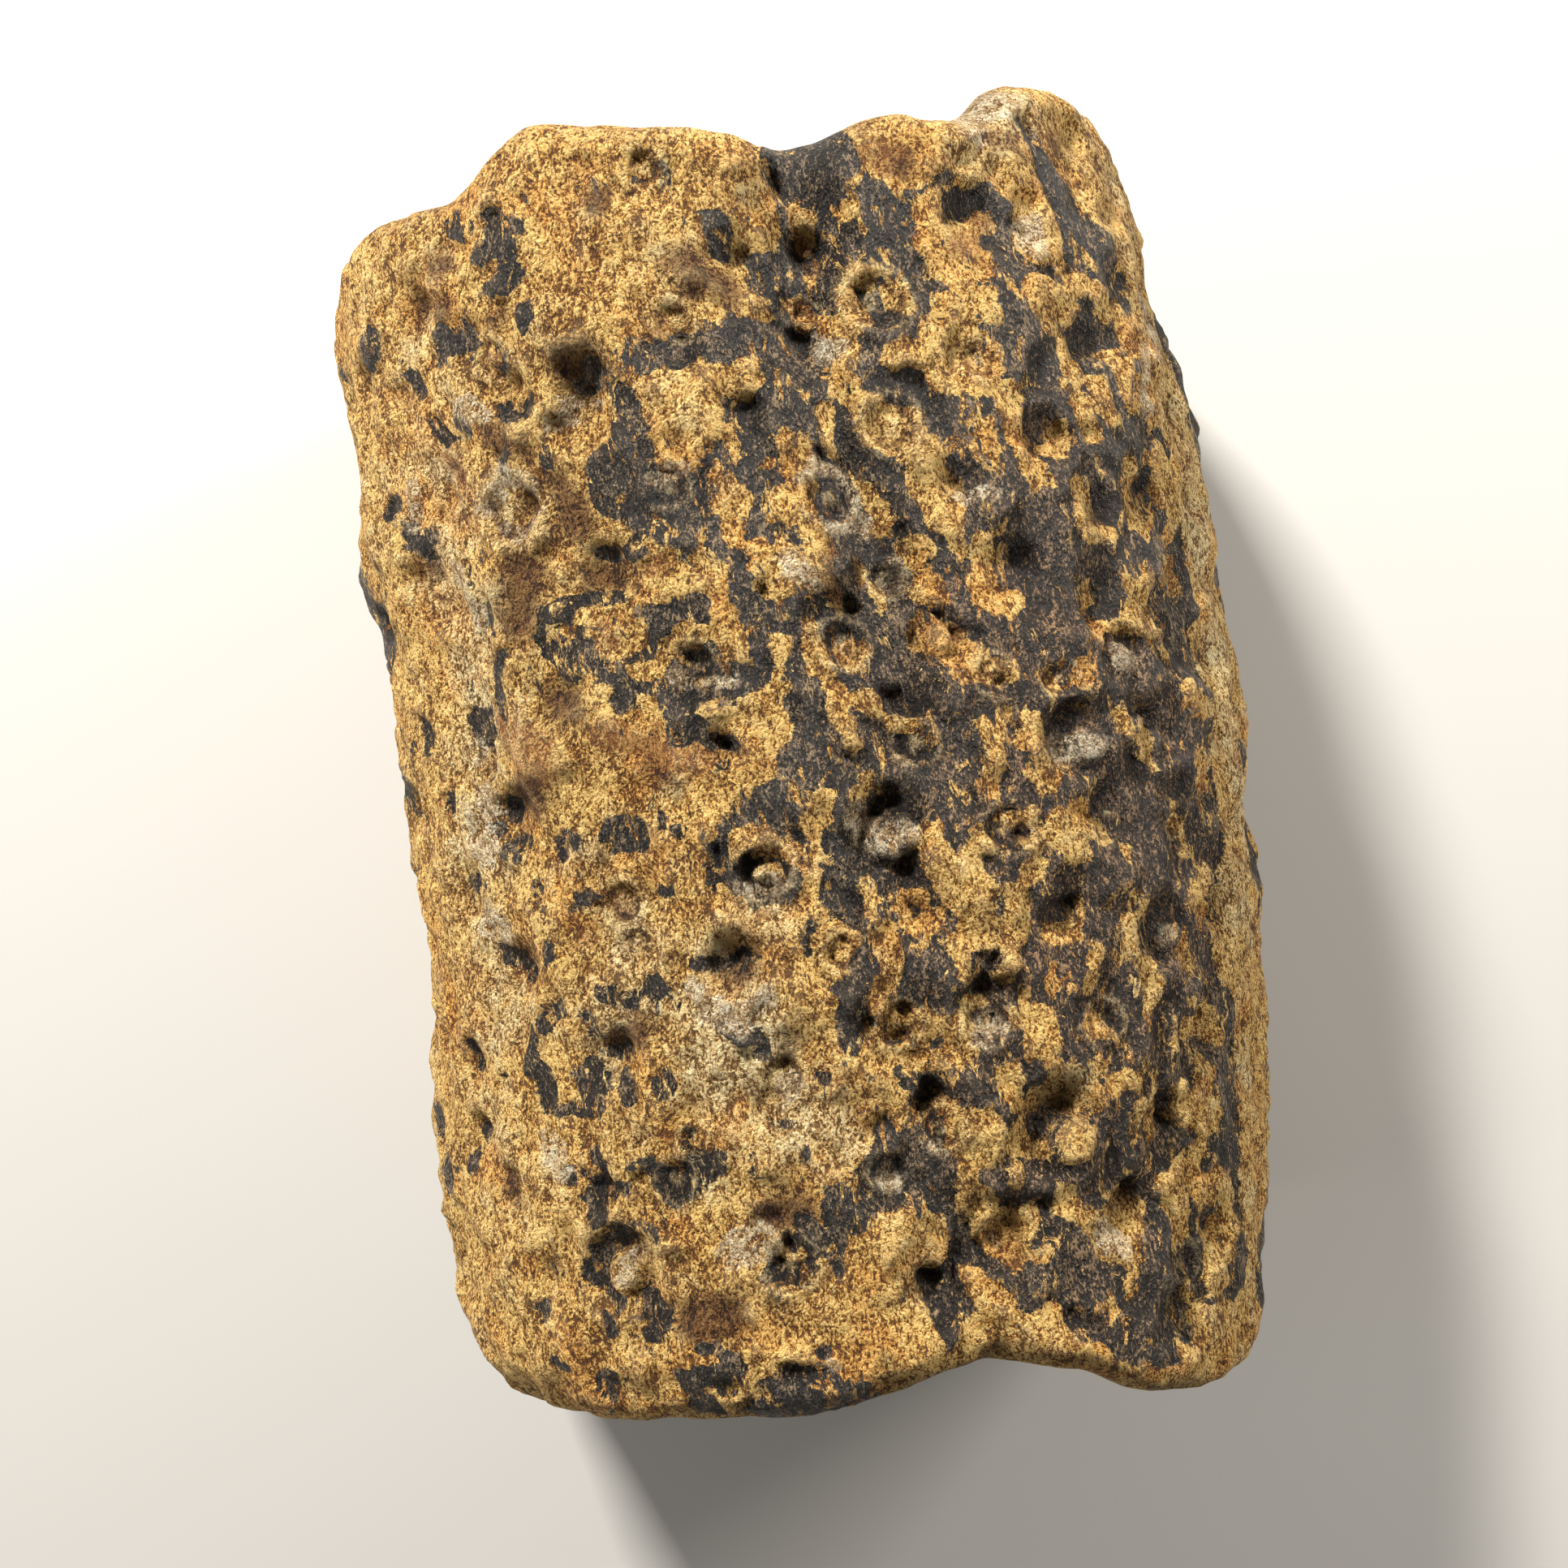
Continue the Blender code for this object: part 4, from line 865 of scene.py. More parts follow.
@dataclass
class SkinMarks:
    """Where each tone lies on the skin, as depths in millimetres inside its marks."""

    seed: int = 71
    wander: Points = ((5.0, 0.8), (2.2, 0.65), (1.3, 0.35))
    deepest: float = 5.0
    width_cell: float = 1.9
    width_change: float = 0.45
    widening: float = 0.25
    pit_narrowing: float = 0.5
    ochre_widening: float = 0.2
    hidden_patch_cell: float = 13.0
    hidden_patch_bias: float = -0.9
    hidden_patch_depth: float = 4.0
    hidden_patch_detail: float = 0.6
    hidden_patch_finer: float = 2.3
    hidden_from_s: float = 53.0
    hidden_to_s: float = 59.0

    def wandered(
        self, s: np.ndarray, t: np.ndarray, points: np.ndarray,
    ) -> tuple[np.ndarray, np.ndarray]:
        """The places moved a little by random heights, so that no mark has a straight edge.

        Args:
            s: places round the girth.
            t: places along the root.
            points: the plain form's points, where the heights are read.

        Returns:
            s and t of the moved places.
        """
        moved = [s, t]
        for k, (cell, size) in enumerate(self.wander):
            for side in (0, 1):
                moved[side] = moved[side] + size * lattice_noise(points, cell, self.seed + 2 * k + side)
        return moved[0], moved[1]

    def stroke_depth(self, s: np.ndarray, t: np.ndarray, tone: Tone) -> np.ndarray:
        """The depth inside the nearest mark of a tone: its half width less the distance to it.

        Args:
            s: places round the girth.
            t: places along the root.
            tone: the tone.

        Returns:
            The depth at each place, below 0 outside every mark.
        """
        depth = np.full(s.shape, -self.deepest)
        for half_width, *line in MARKS[tone]:
            depth = np.maximum(depth, half_width - line_distance(s, t, tuple(line)))
        return depth

    def depths(self, s: np.ndarray, t: np.ndarray, points: np.ndarray) -> dict[Tone, np.ndarray]:
        """The depth of every tone.

        The dark skin is the three dark zones less the ochre marks, with the charcoal marks over
        them. On the lower flanks, which no mark reaches, it is a random pattern of patches.

        Args:
            s: places round the girth.
            t: places along the root.
            points: the plain form's points.

        Returns:
            The depth at each place, for each tone.
        """
        s, t = self.wandered(s, t, points)
        uneven = self.width_change * lattice_noise(points, self.width_cell, self.seed + 8)
        drawn = {tone: self.stroke_depth(s, t, tone) + self.widening + uneven for tone in Tone}
        drawn[Tone.PIT] -= self.pit_narrowing
        drawn[Tone.OCHRE] += self.ochre_widening
        zones = [outline_depth(s, t, zone) for zone in (DARK_ZONE, DARK_SHOULDER, DARK_EYE)]
        dark = np.minimum(np.maximum.reduce(zones), -drawn[Tone.OCHRE])
        dark = np.maximum(dark, drawn[Tone.CHARCOAL])
        patches = lattice_noise(points, self.hidden_patch_cell, self.seed + 9)
        finer = self.hidden_patch_cell / self.hidden_patch_finer
        patches += self.hidden_patch_detail * lattice_noise(points, finer, self.seed + 10)
        patches = self.hidden_patch_bias + self.hidden_patch_depth * patches
        share = ease(np.abs(s), self.hidden_from_s, self.hidden_to_s)
        drawn[Tone.CHARCOAL] = (1 - share) * dark + share * patches
        return {tone: np.clip(depth, -self.deepest, self.deepest) for tone, depth in drawn.items()}


@dataclass(frozen=True)
class Noise:
    """Fractal noise: cells in each unit, octaves, their roughness and how far they swirl."""

    scale: float
    detail: float
    roughness: float
    swirl: float = 0.0


class Sheet:
    """Writes nodes into a shader tree and links them."""

    def __init__(self, tree: bpy.types.NodeTree) -> None:
        """Keeps the tree that the nodes go into."""
        self.tree = tree

    def add(self, kind: str, inputs: dict | None = None, **settings: object) -> bpy.types.Node:
        """Adds a node.

        Args:
            kind: the node's type, without the word ShaderNode.
            inputs: a value, or the socket to link, for each input by name or number.
            settings: properties of the node itself.

        Returns:
            The node.
        """
        node = self.tree.nodes.new("ShaderNode" + kind)
        for name, value in settings.items():
            setattr(node, name, value)
        for key, value in (inputs or {}).items():
            if isinstance(value, bpy.types.NodeSocket):
                self.tree.links.new(value, node.inputs[key])
            else:
                node.inputs[key].default_value = value
        return node

    def math(self, operation: str, *values: object) -> bpy.types.NodeSocket:
        """A sum, product or other operation on one to three values."""
        return self.add("Math", dict(enumerate(values)), operation=operation).outputs[0]

    def noise(self, vector: bpy.types.NodeSocket, noise: Noise) -> bpy.types.NodeSocket:
        """Fractal noise between about 0.2 and 0.8.

        Args:
            vector: the places.
            noise: the noise's size and form.

        Returns:
            The noise at each place.
        """
        inputs = {
            "Vector": vector, "Scale": noise.scale, "Detail": noise.detail,
            "Roughness": noise.roughness, "Distortion": noise.swirl,
        }
        return self.add("TexNoise", inputs).outputs["Fac"]

    def centred(self, noise: bpy.types.NodeSocket) -> bpy.types.NodeSocket:
        """A noise less its middle value."""
        return self.math("SUBTRACT", noise, 0.5)

    def stretched(self, vector: bpy.types.NodeSocket, share: Triple) -> bpy.types.NodeSocket:
        """Places times a share along each axis, so that noise there is drawn out."""
        return self.add("Mapping", {"Vector": vector, "Scale": share}).outputs[0]

    def step(
        self, value: bpy.types.NodeSocket, low: object, high: object, start: object = 0.0,
        end: object = 1.0,
    ) -> bpy.types.NodeSocket:
        """A smooth step of value from start at low to end at high."""
        inputs = {"Value": value, "From Min": low, "From Max": high, "To Min": start, "To Max": end}
        return self.add("MapRange", inputs, interpolation_type="SMOOTHSTEP").outputs["Result"]

    def band(self, value: bpy.types.NodeSocket, ends: Quad) -> bpy.types.NodeSocket:
        """A smooth rise from 0 to 1 between the first two ends and a fall between the others."""
        return self.math("MULTIPLY", self.step(value, *ends[:2]), self.step(value, *ends[:1:-1]))

    def mix(
        self, share: object, first: object, second: object, blend: str = "MIX",
    ) -> bpy.types.NodeSocket:
        """Two colours mixed."""
        inputs = {0: share, 6: first, 7: second}
        return self.add("Mix", inputs, data_type="RGBA", blend_type=blend).outputs[2]

    def layer(
        self, colour: bpy.types.NodeSocket, mask: bpy.types.NodeSocket, share: float,
        over: object, blend: str = "MIX",
    ) -> bpy.types.NodeSocket:
        """A colour with another over it, where a mask is and as strongly as the share says."""
        return self.mix(self.math("MULTIPLY", mask, share), colour, over, blend)

    def attribute(self, name: str) -> list[bpy.types.NodeSocket]:
        """The three parts of a vector that each vertex carries."""
        vector = self.add("Attribute", attribute_name=name).outputs["Vector"]
        return list(self.add("SeparateXYZ", {0: vector}).outputs)


def new_group(name: str, inputs: dict[str, tuple[str, object]], outputs: dict[str, str]) -> tuple:
    """Starts a shader node group.

    Args:
        name: the group's name.
        inputs: each input's socket type and default value.
        outputs: each output's socket type.

    Returns:
        The group, a sheet on it, its input sockets by name and its output node.
    """
    group = bpy.data.node_groups.new(name, "ShaderNodeTree")
    for label, (kind, value) in inputs.items():
        socket = group.interface.new_socket(label, in_out="INPUT", socket_type="NodeSocket" + kind)
        if value is not None:
            socket.default_value = value
    for label, kind in outputs.items():
        group.interface.new_socket(label, in_out="OUTPUT", socket_type="NodeSocket" + kind)
    inner = group.nodes.new("NodeGroupInput")
    outer = group.nodes.new("NodeGroupOutput")
    return group, Sheet(group), inner.outputs, outer


@dataclass(frozen=True)
class GrainGroup:
    """Granular stone: three tones and a height from noise of falling size."""

    name: str = "stone_grain"
    patches: Noise = Noise(0.22, 3.0, 0.6)
    lumps: Noise = Noise(0.45, 4.0, 0.5, 1.0)
    grains: Noise = Noise(1.0, 5.0, 0.64, 0.8)
    dust: Noise = Noise(2.6, 3.0, 0.6)
    ridges: Noise = Noise(0.7, 5.0, 0.65, 1.2)
    cracks: Noise = Noise(0.6, 4.0, 0.62, 0.9)
    crack_stretch: Triple = (1.0, 0.5, 0.8)
    crack_edge: Pair = (0.030, 0.004)
    grains_rise: float = 0.66
    dust_rise: float = 0.62
    ridges_rise: float = -0.9
    cracks_rise: float = -0.13
    lumps_rise: float = 1.1
    middle_height: float = 0.56
    patches_in_tone: float = 1.1
    lumps_in_tone: float = 0.7
    low_to_middle: Pair = (0.22, 0.5)
    middle_to_high: Pair = (0.48, 0.8)

    def build(self) -> bpy.types.NodeTree:
        """The group: its tone is picked by noise of four sizes, ridges and cracks added up.

        Returns:
            The node group, with places in millimetres and the cell of the grain as inputs.
        """
        black = (0.0, 0.0, 0.0, 1.0)
        group, sheet, given, out = new_group(
            self.name,
            {
                "Place": ("Vector", None), "Cell": ("Float", 1.0), "Contrast": ("Float", 1.0),
                "Bias": ("Float", 0.0),
                "Low": ("Color", black), "Middle": ("Color", black), "High": ("Color", black),
            },
            {"Colour": "Color", "Height": "Float"},
        )
        place = sheet.add("VectorMath", {0: given["Place"], 1: given["Cell"]}, operation="DIVIDE")
        place = place.outputs[0]
        drawn_out = sheet.stretched(place, self.crack_stretch)
        patches, lumps = sheet.noise(place, self.patches), sheet.noise(place, self.lumps)
        ridges = sheet.math("ABSOLUTE", sheet.centred(sheet.noise(place, self.ridges)))
        line = sheet.math("ABSOLUTE", sheet.centred(sheet.noise(drawn_out, self.cracks)))
        cracks = sheet.step(line, *self.crack_edge)

        height = sheet.math("MULTIPLY", sheet.noise(place, self.dust), self.dust_rise)
        height = sheet.math("MULTIPLY_ADD", sheet.noise(place, self.grains), self.grains_rise, height)
        height = sheet.math("MULTIPLY_ADD", ridges, self.ridges_rise, height)
        height = sheet.math("MULTIPLY_ADD", cracks, self.cracks_rise, height)
        from_middle = sheet.math("SUBTRACT", height, self.middle_height)
        tone = sheet.math("MULTIPLY_ADD", from_middle, given["Contrast"], 0.5)
        tone = sheet.math("MULTIPLY_ADD", sheet.centred(patches), self.patches_in_tone, tone)
        tone = sheet.math("MULTIPLY_ADD", sheet.centred(lumps), self.lumps_in_tone, tone)
        tone = sheet.math("ADD", tone, given["Bias"])
        height = sheet.math("MULTIPLY_ADD", lumps, self.lumps_rise, height)

        dim = sheet.mix(sheet.step(tone, *self.low_to_middle), given["Low"], given["Middle"])
        colour = sheet.mix(sheet.step(tone, *self.middle_to_high), dim, given["High"])
        group.links.new(colour, out.inputs["Colour"])
        group.links.new(height, out.inputs["Height"])
        return group


@dataclass(frozen=True)
class EdgeGroup:
    """A mark's edge: its depth made ragged by noise and cut to a mask."""

    name: str = "ragged_edge"
    wear: Noise = Noise(0.8, 5.0, 0.68)

    def build(self) -> bpy.types.NodeTree:
        """The group: a smooth step over Softness of the depth plus noise of a given size.

        Returns:
            The node group.
        """
        group, sheet, given, out = new_group(
            self.name,
            {
                "Place": ("Vector", None), "Depth": ("Float", 0.0), "Ragged": ("Float", 1.0),
                "Softness": ("Float", 0.2),
            },
            {"Mask": "Float"},
        )
        wear = sheet.centred(sheet.noise(given["Place"], self.wear))
        depth = sheet.math("MULTIPLY_ADD", wear, given["Ragged"], given["Depth"])
        low = sheet.math("MULTIPLY", given["Softness"], -1.0)
        group.links.new(sheet.step(depth, low, given["Softness"]), out.inputs["Mask"])
        return group


@dataclass(frozen=True)
class ScarGroup:
    """A scar's rings: painted shade in its grooves, a pale rim and painted shadow inside a cup, from
    the place in the scar.
    """

    name: str = "scar_rings"
    waver: Noise = Noise(0.9, 4.0, 0.65)
    waver_size: float = 1.1
    gaps: Noise = Noise(0.45, 3.0, 0.6)
    gap_edge: Pair = (0.38, 0.56)
    # The grooves are painted shade: the dips inside and outside a ring's crest darkened
    inner_groove: Quad = (0.42, 0.60, 0.72, 0.90)
    outer_groove: Quad = (1.12, 1.26, 1.34, 1.50)
    outer_share: float = 0.6
    rim: Quad = (0.82, 0.96, 1.06, 1.20)
    core_edge: Pair = (0.42, 0.24)
    # The hollow is painted shadow: a cup's inside darkened on its far-end side, where the key lamp's
    # shadow falls
    hollow_edge: Pair = (0.92, 0.68)
    hollow_along: Pair = (-0.45, 0.35)
    ring_kinds: Pair = (0.0, 0.5)
    cup_kinds: Pair = (0.0, -0.5)

    def build(self) -> bpy.types.NodeTree:
        """The group: bands across circles of the scar's radius, made uneven by noise.

        Returns:
            The node group.
        """
        group, sheet, given, out = new_group(
            self.name,
            {
                "Place": ("Vector", None), "Across": ("Float", 0.0), "Along": ("Float", 0.0),
                "Kind": ("Float", 0.0),
            },
            {"Groove": "Float", "Rim": "Float", "Hollow": "Float"},
        )
        across, along = given["Across"], given["Along"]
        square = sheet.math("MULTIPLY_ADD", across, across, sheet.math("MULTIPLY", along, along))
        waver = sheet.centred(sheet.noise(given["Place"], self.waver))
        away = sheet.math("MULTIPLY_ADD", waver, self.waver_size, sheet.math("SQRT", square))
        whole = sheet.step(sheet.noise(given["Place"], self.gaps), *self.gap_edge)
        ringed = sheet.math("MULTIPLY", whole, sheet.step(given["Kind"], *self.ring_kinds))
        outer = sheet.math("MULTIPLY", sheet.band(away, self.outer_groove), self.outer_share)
        groove = sheet.math("MAXIMUM", sheet.band(away, self.inner_groove), outer)
        rim = sheet.math("MAXIMUM", sheet.band(away, self.rim), sheet.step(away, *self.core_edge))
        hollow = sheet.math(
            "MULTIPLY", sheet.step(away, *self.hollow_edge), sheet.step(along, *self.hollow_along),
        )
        masks = {
            "Groove": sheet.math("MULTIPLY", groove, ringed),
            "Rim": sheet.math("MULTIPLY", rim, ringed),
            "Hollow": sheet.math("MULTIPLY", hollow, sheet.step(given["Kind"], *self.cup_kinds)),
        }
        for name, mask in masks.items():
            group.links.new(mask, out.inputs[name])
        return group


@dataclass(frozen=True)
class Grain:
    """One kind of stone: its three colours and how they follow the height of its grain."""

    low: Colour
    middle: Colour
    high: Colour
    cell: float = 1.0
    contrast: float = 3.0
    bias: float = 0.0


@dataclass(frozen=True)
class StoneFinish:
    """The stone's colours and how its grain, patches, stains and scars show.

    An edge is a pair: how ragged it is and how soft, both in millimetres. Other pairs are the
    values between which a smooth step runs.
    """

    crust: Grain = Grain(
        (0.14, 0.052, 0.008, 1.0), (0.60, 0.285, 0.045, 1.0), (0.97, 0.660, 0.225, 1.0),
        cell=0.7, contrast=3.4, bias=0.02,
    )
    pale_crust: Grain = Grain(
        (0.17, 0.085, 0.022, 1.0), (0.68, 0.430, 0.155, 1.0), (0.98, 0.82, 0.470, 1.0),
        cell=0.7, contrast=3.4, bias=0.04,
    )
    blue_skin: Grain = Grain(
        (0.010, 0.007, 0.005, 1.0), (0.047, 0.034, 0.024, 1.0), (0.320, 0.225, 0.130, 1.0),
        cell=0.6, contrast=3.1, bias=-0.18,
    )
    brown_skin: Grain = Grain(
        (0.012, 0.007, 0.004, 1.0), (0.067, 0.038, 0.021, 1.0), (0.400, 0.240, 0.120, 1.0),
        cell=0.6, contrast=3.1, bias=-0.18,
    )
    broken: Grain = Grain(
        (0.09, 0.05, 0.022, 1.0), (0.30, 0.20, 0.095, 1.0), (0.52, 0.38, 0.20, 1.0),
        cell=1.0, contrast=2.4,
    )
    chalk: Grain = Grain(
        (0.28, 0.165, 0.075, 1.0), (0.72, 0.54, 0.31, 1.0), (0.97, 0.86, 0.63, 1.0),
        cell=0.7, contrast=2.6,
    )
    crust_stretch: Triple = (1.0, 0.7, 0.9)
    skin_stretch: Triple = (1.0, 0.55, 0.9)

    # Patches of dark skin, and the flecks of each stone in the other
    patch_edge: Pair = (2.6, 0.10)
    flecks: Noise = Noise(0.55, 6.0, 0.74, 0.8)
    fleck_stretch: Triple = (1.0, 0.45, 0.8)
    fleck_depth: float = 3.0
    skin_flecks: Pair = (0.60, 0.66)
    crust_flecks: Pair = (0.45, 0.39)

    # Colours laid over the crust, and over both
    blotches: Noise = Noise(0.16, 4.0, 0.62)
    blotch_size: float = 1.9
    pale_from: Pair = (0.05, 0.75)
    gold: Colour = (1.0, 0.72, 0.42, 1.0)
    gold_noise: Noise = Noise(0.11, 5.0, 0.66, 0.5)
    gold_from: Pair = (0.50, 0.64)
    gold_share: float = 0.55
    rust: Colour = (0.30, 0.105, 0.032, 1.0)
    rust_edge: Pair = (3.6, 1.3)
    rust_share: float = 0.55
    # Painted shade: the brown multiplied into the hollows' colour
    shade: Colour = (0.15, 0.075, 0.025, 1.0)
    shade_edge: Pair = (2.6, 1.2)
    shade_share: float = 0.85
    chalk_edge: Pair = (2.8, 0.4)
    chalk_heights: Pair = (0.93, 1.13)
    chalk_share: float = 0.80

    # Scars, hollows and raised places, with painted shade and painted highlight
    # The colour multiplied into grooves, cups and hollows as painted shade
    recess_shade: Colour = (0.20, 0.125, 0.075, 1.0)
    groove_shade_share: float = 0.85
    rim_share: float = 0.34
    cup_shadow_share: float = 0.35
    # Painted shade: the colour darkened where the surface lies below its neighbourhood
    deep_from: Pair = (0.0, -0.75)
    deep_share: float = 0.55
    # Painted highlight: raised places of crust and skin made paler
    raised_highlight_crust: Colour = (0.95, 0.70, 0.34, 1.0)
    raised_highlight_skin: Colour = (0.150, 0.115, 0.085, 1.0)
    raised_highlight_from: Pair = (0.05, 0.40)
    raised_highlight_share: float = 0.20
    # Painted shadow: the black laid into the pits
    black: Colour = (0.010, 0.008, 0.007, 1.0)
    pit_edge: Pair = (2.4, 0.4)
    pit_shadow_share: float = 0.22
    broken_from: Pair = (0.25, 0.75)

    # Gloss and relief
    crust_roughness: float = 0.86
    skin_roughness: float = 0.55
    specular: float = 0.35
    crust_level: float = 1.01
    skin_rise: float = 0.70
    skin_level: float = 0.775
    bump_depth: float = 0.0034

    def material(self) -> bpy.types.Material:
        """The stone's material.

        Returns:
            The material, with its nodes in place.
        """
        material = bpy.data.materials.new("ochre_and_charcoal_stone")
        material.use_nodes = True
        StonePaint(self, material.node_tree).build()
        return material


class StonePaint:
    """Wires a stone finish to the places and the attributes of the piece that it is on."""

    def __init__(self, finish: StoneFinish, tree: bpy.types.NodeTree) -> None:
        """Adds what every layer reads: the places, the attributes and the groups.

        Args:
            finish: the colours and values.
            tree: the material's node tree.
        """
        self.finish, self.sheet = finish, Sheet(tree)
        self.grain_group, self.edge_group = GrainGroup().build(), EdgeGroup().build()
        coordinates = self.sheet.add("TexCoord").outputs["Object"]
        scaled = self.sheet.add("VectorMath", {0: coordinates, "Scale": 1 / MM}, operation="SCALE")
        self.place = scaled.outputs[0]
        self.dark, self.cream, self.rust = self.sheet.attribute("tone_depths")
        self.shade, self.blue, self.broken = self.sheet.attribute("painted_shade_and_zones")
        self.cavity, self.pit, self.pale = self.sheet.attribute("surface")

    def grain(self, kind: Grain, place: bpy.types.NodeSocket) -> bpy.types.Node:
        """A node of the grain group with one kind of stone's colours.

        Args:
            kind: the kind of stone.
            place: the places that its grain is read at.

        Returns:
            The node.
        """
        inputs = {
            "Place": place, "Cell": kind.cell, "Contrast": kind.contrast, "Bias": kind.bias,
            "Low": kind.low, "Middle": kind.middle, "High": kind.high,
        }
        return self.sheet.add("Group", inputs, node_tree=self.grain_group)

    def mask(self, depth: bpy.types.NodeSocket, edge: Pair) -> bpy.types.NodeSocket:
        """Where one tone's marks are, with a ragged edge."""
        inputs = {"Place": self.place, "Depth": depth, "Ragged": edge[0], "Softness": edge[1]}
        return self.sheet.add("Group", inputs, node_tree=self.edge_group).outputs["Mask"]

    def dark_skin(self) -> bpy.types.NodeSocket:
        """Where the dark skin is: inside its marks, with flecks of each stone in the other.

        Returns:
            The mask, 1 on the skin and 0 on the crust.
        """
        finish, sheet = self.finish, self.sheet
        flecks = sheet.noise(sheet.stretched(self.place, finish.fleck_stretch), finish.flecks)
        more = sheet.math("MULTIPLY", sheet.step(flecks, *finish.skin_flecks), finish.fleck_depth)
        less = sheet.math("MULTIPLY", sheet.step(flecks, *finish.crust_flecks), -finish.fleck_depth)
        flecked = sheet.math("ADD", self.dark, sheet.math("ADD", more, less))
        return self.mask(flecked, finish.patch_edge)

    def crust_colour(self, crust: bpy.types.Node, pale: bpy.types.Node) -> bpy.types.NodeSocket:
        """The crust: two grains in blotches, deeper gold in places, with rust stains and painted brown
        shade in the hollows.

        Args:
            crust: the ochre grain.
            pale: the pale grain.

        Returns:
            The colour.
        """
        finish, sheet = self.finish, self.sheet
        blotches = sheet.centred(sheet.noise(self.place, finish.blotches))
        # The pale share is pale stone, and along the flanks partly painted highlight
        paleness = sheet.math("MULTIPLY_ADD", blotches, finish.blotch_size, self.pale)
        pale_share = sheet.step(paleness, *finish.pale_from)
        colour = sheet.mix(pale_share, crust.outputs["Colour"], pale.outputs["Colour"])
        deeper = sheet.step(sheet.noise(self.place, finish.gold_noise), *finish.gold_from)
        colour = sheet.layer(colour, deeper, finish.gold_share, finish.gold, "MULTIPLY")
        rusty = self.mask(self.rust, finish.rust_edge)
        colour = sheet.layer(colour, rusty, finish.rust_share, finish.rust)
        # Painted shade: the hollows darkened brown in the crust's colour
        shaded = self.mask(self.shade, finish.shade_edge)
        return sheet.layer(colour, shaded, finish.shade_share, finish.shade, "MULTIPLY")

    def scarred(self, colour: bpy.types.NodeSocket, pale: bpy.types.Node) -> bpy.types.NodeSocket:
        """A colour with the scars' painted shade in grooves, pale rims and painted shadow in cups laid
        over it.

        Args:
            colour: the colour without them.
            pale: the pale grain, which the rims show.

        Returns:
            The colour.
        """
        finish, sheet = self.finish, self.sheet
        across, along, kind = sheet.attribute("scar_place")
        inputs = {"Place": self.place, "Across": across, "Along": along, "Kind": kind}
        scar = sheet.add("Group", inputs, node_tree=ScarGroup().build()).outputs
        # Painted shade in the rings' grooves
        colour = sheet.layer(colour, scar["Groove"], finish.groove_shade_share, finish.recess_shade, "MULTIPLY")
        colour = sheet.layer(colour, scar["Rim"], finish.rim_share, pale.outputs["Colour"])
        # Painted shadow inside the cups, on their far-end side
        return sheet.layer(colour, scar["Hollow"], finish.cup_shadow_share, finish.recess_shade, "MULTIPLY")

    def with_painted_light(
        self, colour: bpy.types.NodeSocket, is_dark: bpy.types.NodeSocket,
    ) -> bpy.types.NodeSocket:
        """A colour with painted shade in the hollows, a painted highlight on raised places and painted
        shadow in the pits.

        Args:
            colour: the colour without them.
            is_dark: where the dark skin is.

        Returns:
            The colour.
        """
        finish, sheet = self.finish, self.sheet
        # Painted shade: the colour darkened where the surface lies below the mean of its neighbourhood
        deep = sheet.step(self.cavity, *finish.deep_from)
        colour = sheet.layer(colour, deep, finish.deep_share, finish.recess_shade, "MULTIPLY")
        # Painted highlight: the colour made paler where the surface stands above its neighbourhood
        raised_highlight = sheet.mix(is_dark, finish.raised_highlight_crust, finish.raised_highlight_skin)
        worn = sheet.step(self.cavity, *finish.raised_highlight_from)
        colour = sheet.layer(colour, worn, finish.raised_highlight_share, raised_highlight)
        # Painted shadow: black laid into the pits
        pit_shadow = self.mask(self.pit, finish.pit_edge)
        return sheet.layer(colour, pit_shadow, finish.pit_shadow_share, finish.black)

    def bump(
        self, crust: bpy.types.Node, skin: bpy.types.Node, is_dark: bpy.types.NodeSocket,
    ) -> bpy.types.NodeSocket:
        """The normal: the height of the crust's grain, or of the skin's where the skin is.

        Args:
            crust: the crust's grain.
            skin: the skin's grain.
            is_dark: where the dark skin is.

        Returns:
            The normal.
        """
        finish, sheet = self.finish, self.sheet
        crust_height = sheet.math("SUBTRACT", crust.outputs["Height"], finish.crust_level)
        skin_height = sheet.math(
            "MULTIPLY_ADD", skin.outputs["Height"], finish.skin_rise, -finish.skin_level,
        )
        is_crust = sheet.math("SUBTRACT", 1.0, is_dark)
        height = sheet.math("MULTIPLY", is_dark, skin_height)
        height = sheet.math("MULTIPLY_ADD", is_crust, crust_height, height)
        inputs = {"Height": height, "Distance": finish.bump_depth, "Strength": 1.0}
        return sheet.add("Bump", inputs).outputs["Normal"]

    def build(self) -> None:
        """Lays the colours over one another and links them, the roughness and the normal.

        Crust and dark skin are two grains parted by the ragged edge of the dark marks. Pale
        stone lies over them, then the scars' rings with painted shade, and painted shade,
        highlight and shadow in the hollows, on raised places and in the pits. The broken ends
        have a grain of their own.
        """
        finish, sheet = self.finish, self.sheet
        fibres = sheet.stretched(self.place, finish.crust_stretch)
        striae = sheet.stretched(self.place, finish.skin_stretch)
        crust, pale = self.grain(finish.crust, fibres), self.grain(finish.pale_crust, fibres)
        blue, brown = self.grain(finish.blue_skin, striae), self.grain(finish.brown_skin, striae)
        chalk, broken = self.grain(finish.chalk, self.place), self.grain(finish.broken, self.place)
        is_dark, is_blue = self.dark_skin(), sheet.step(self.blue, 0.0, 1.0)

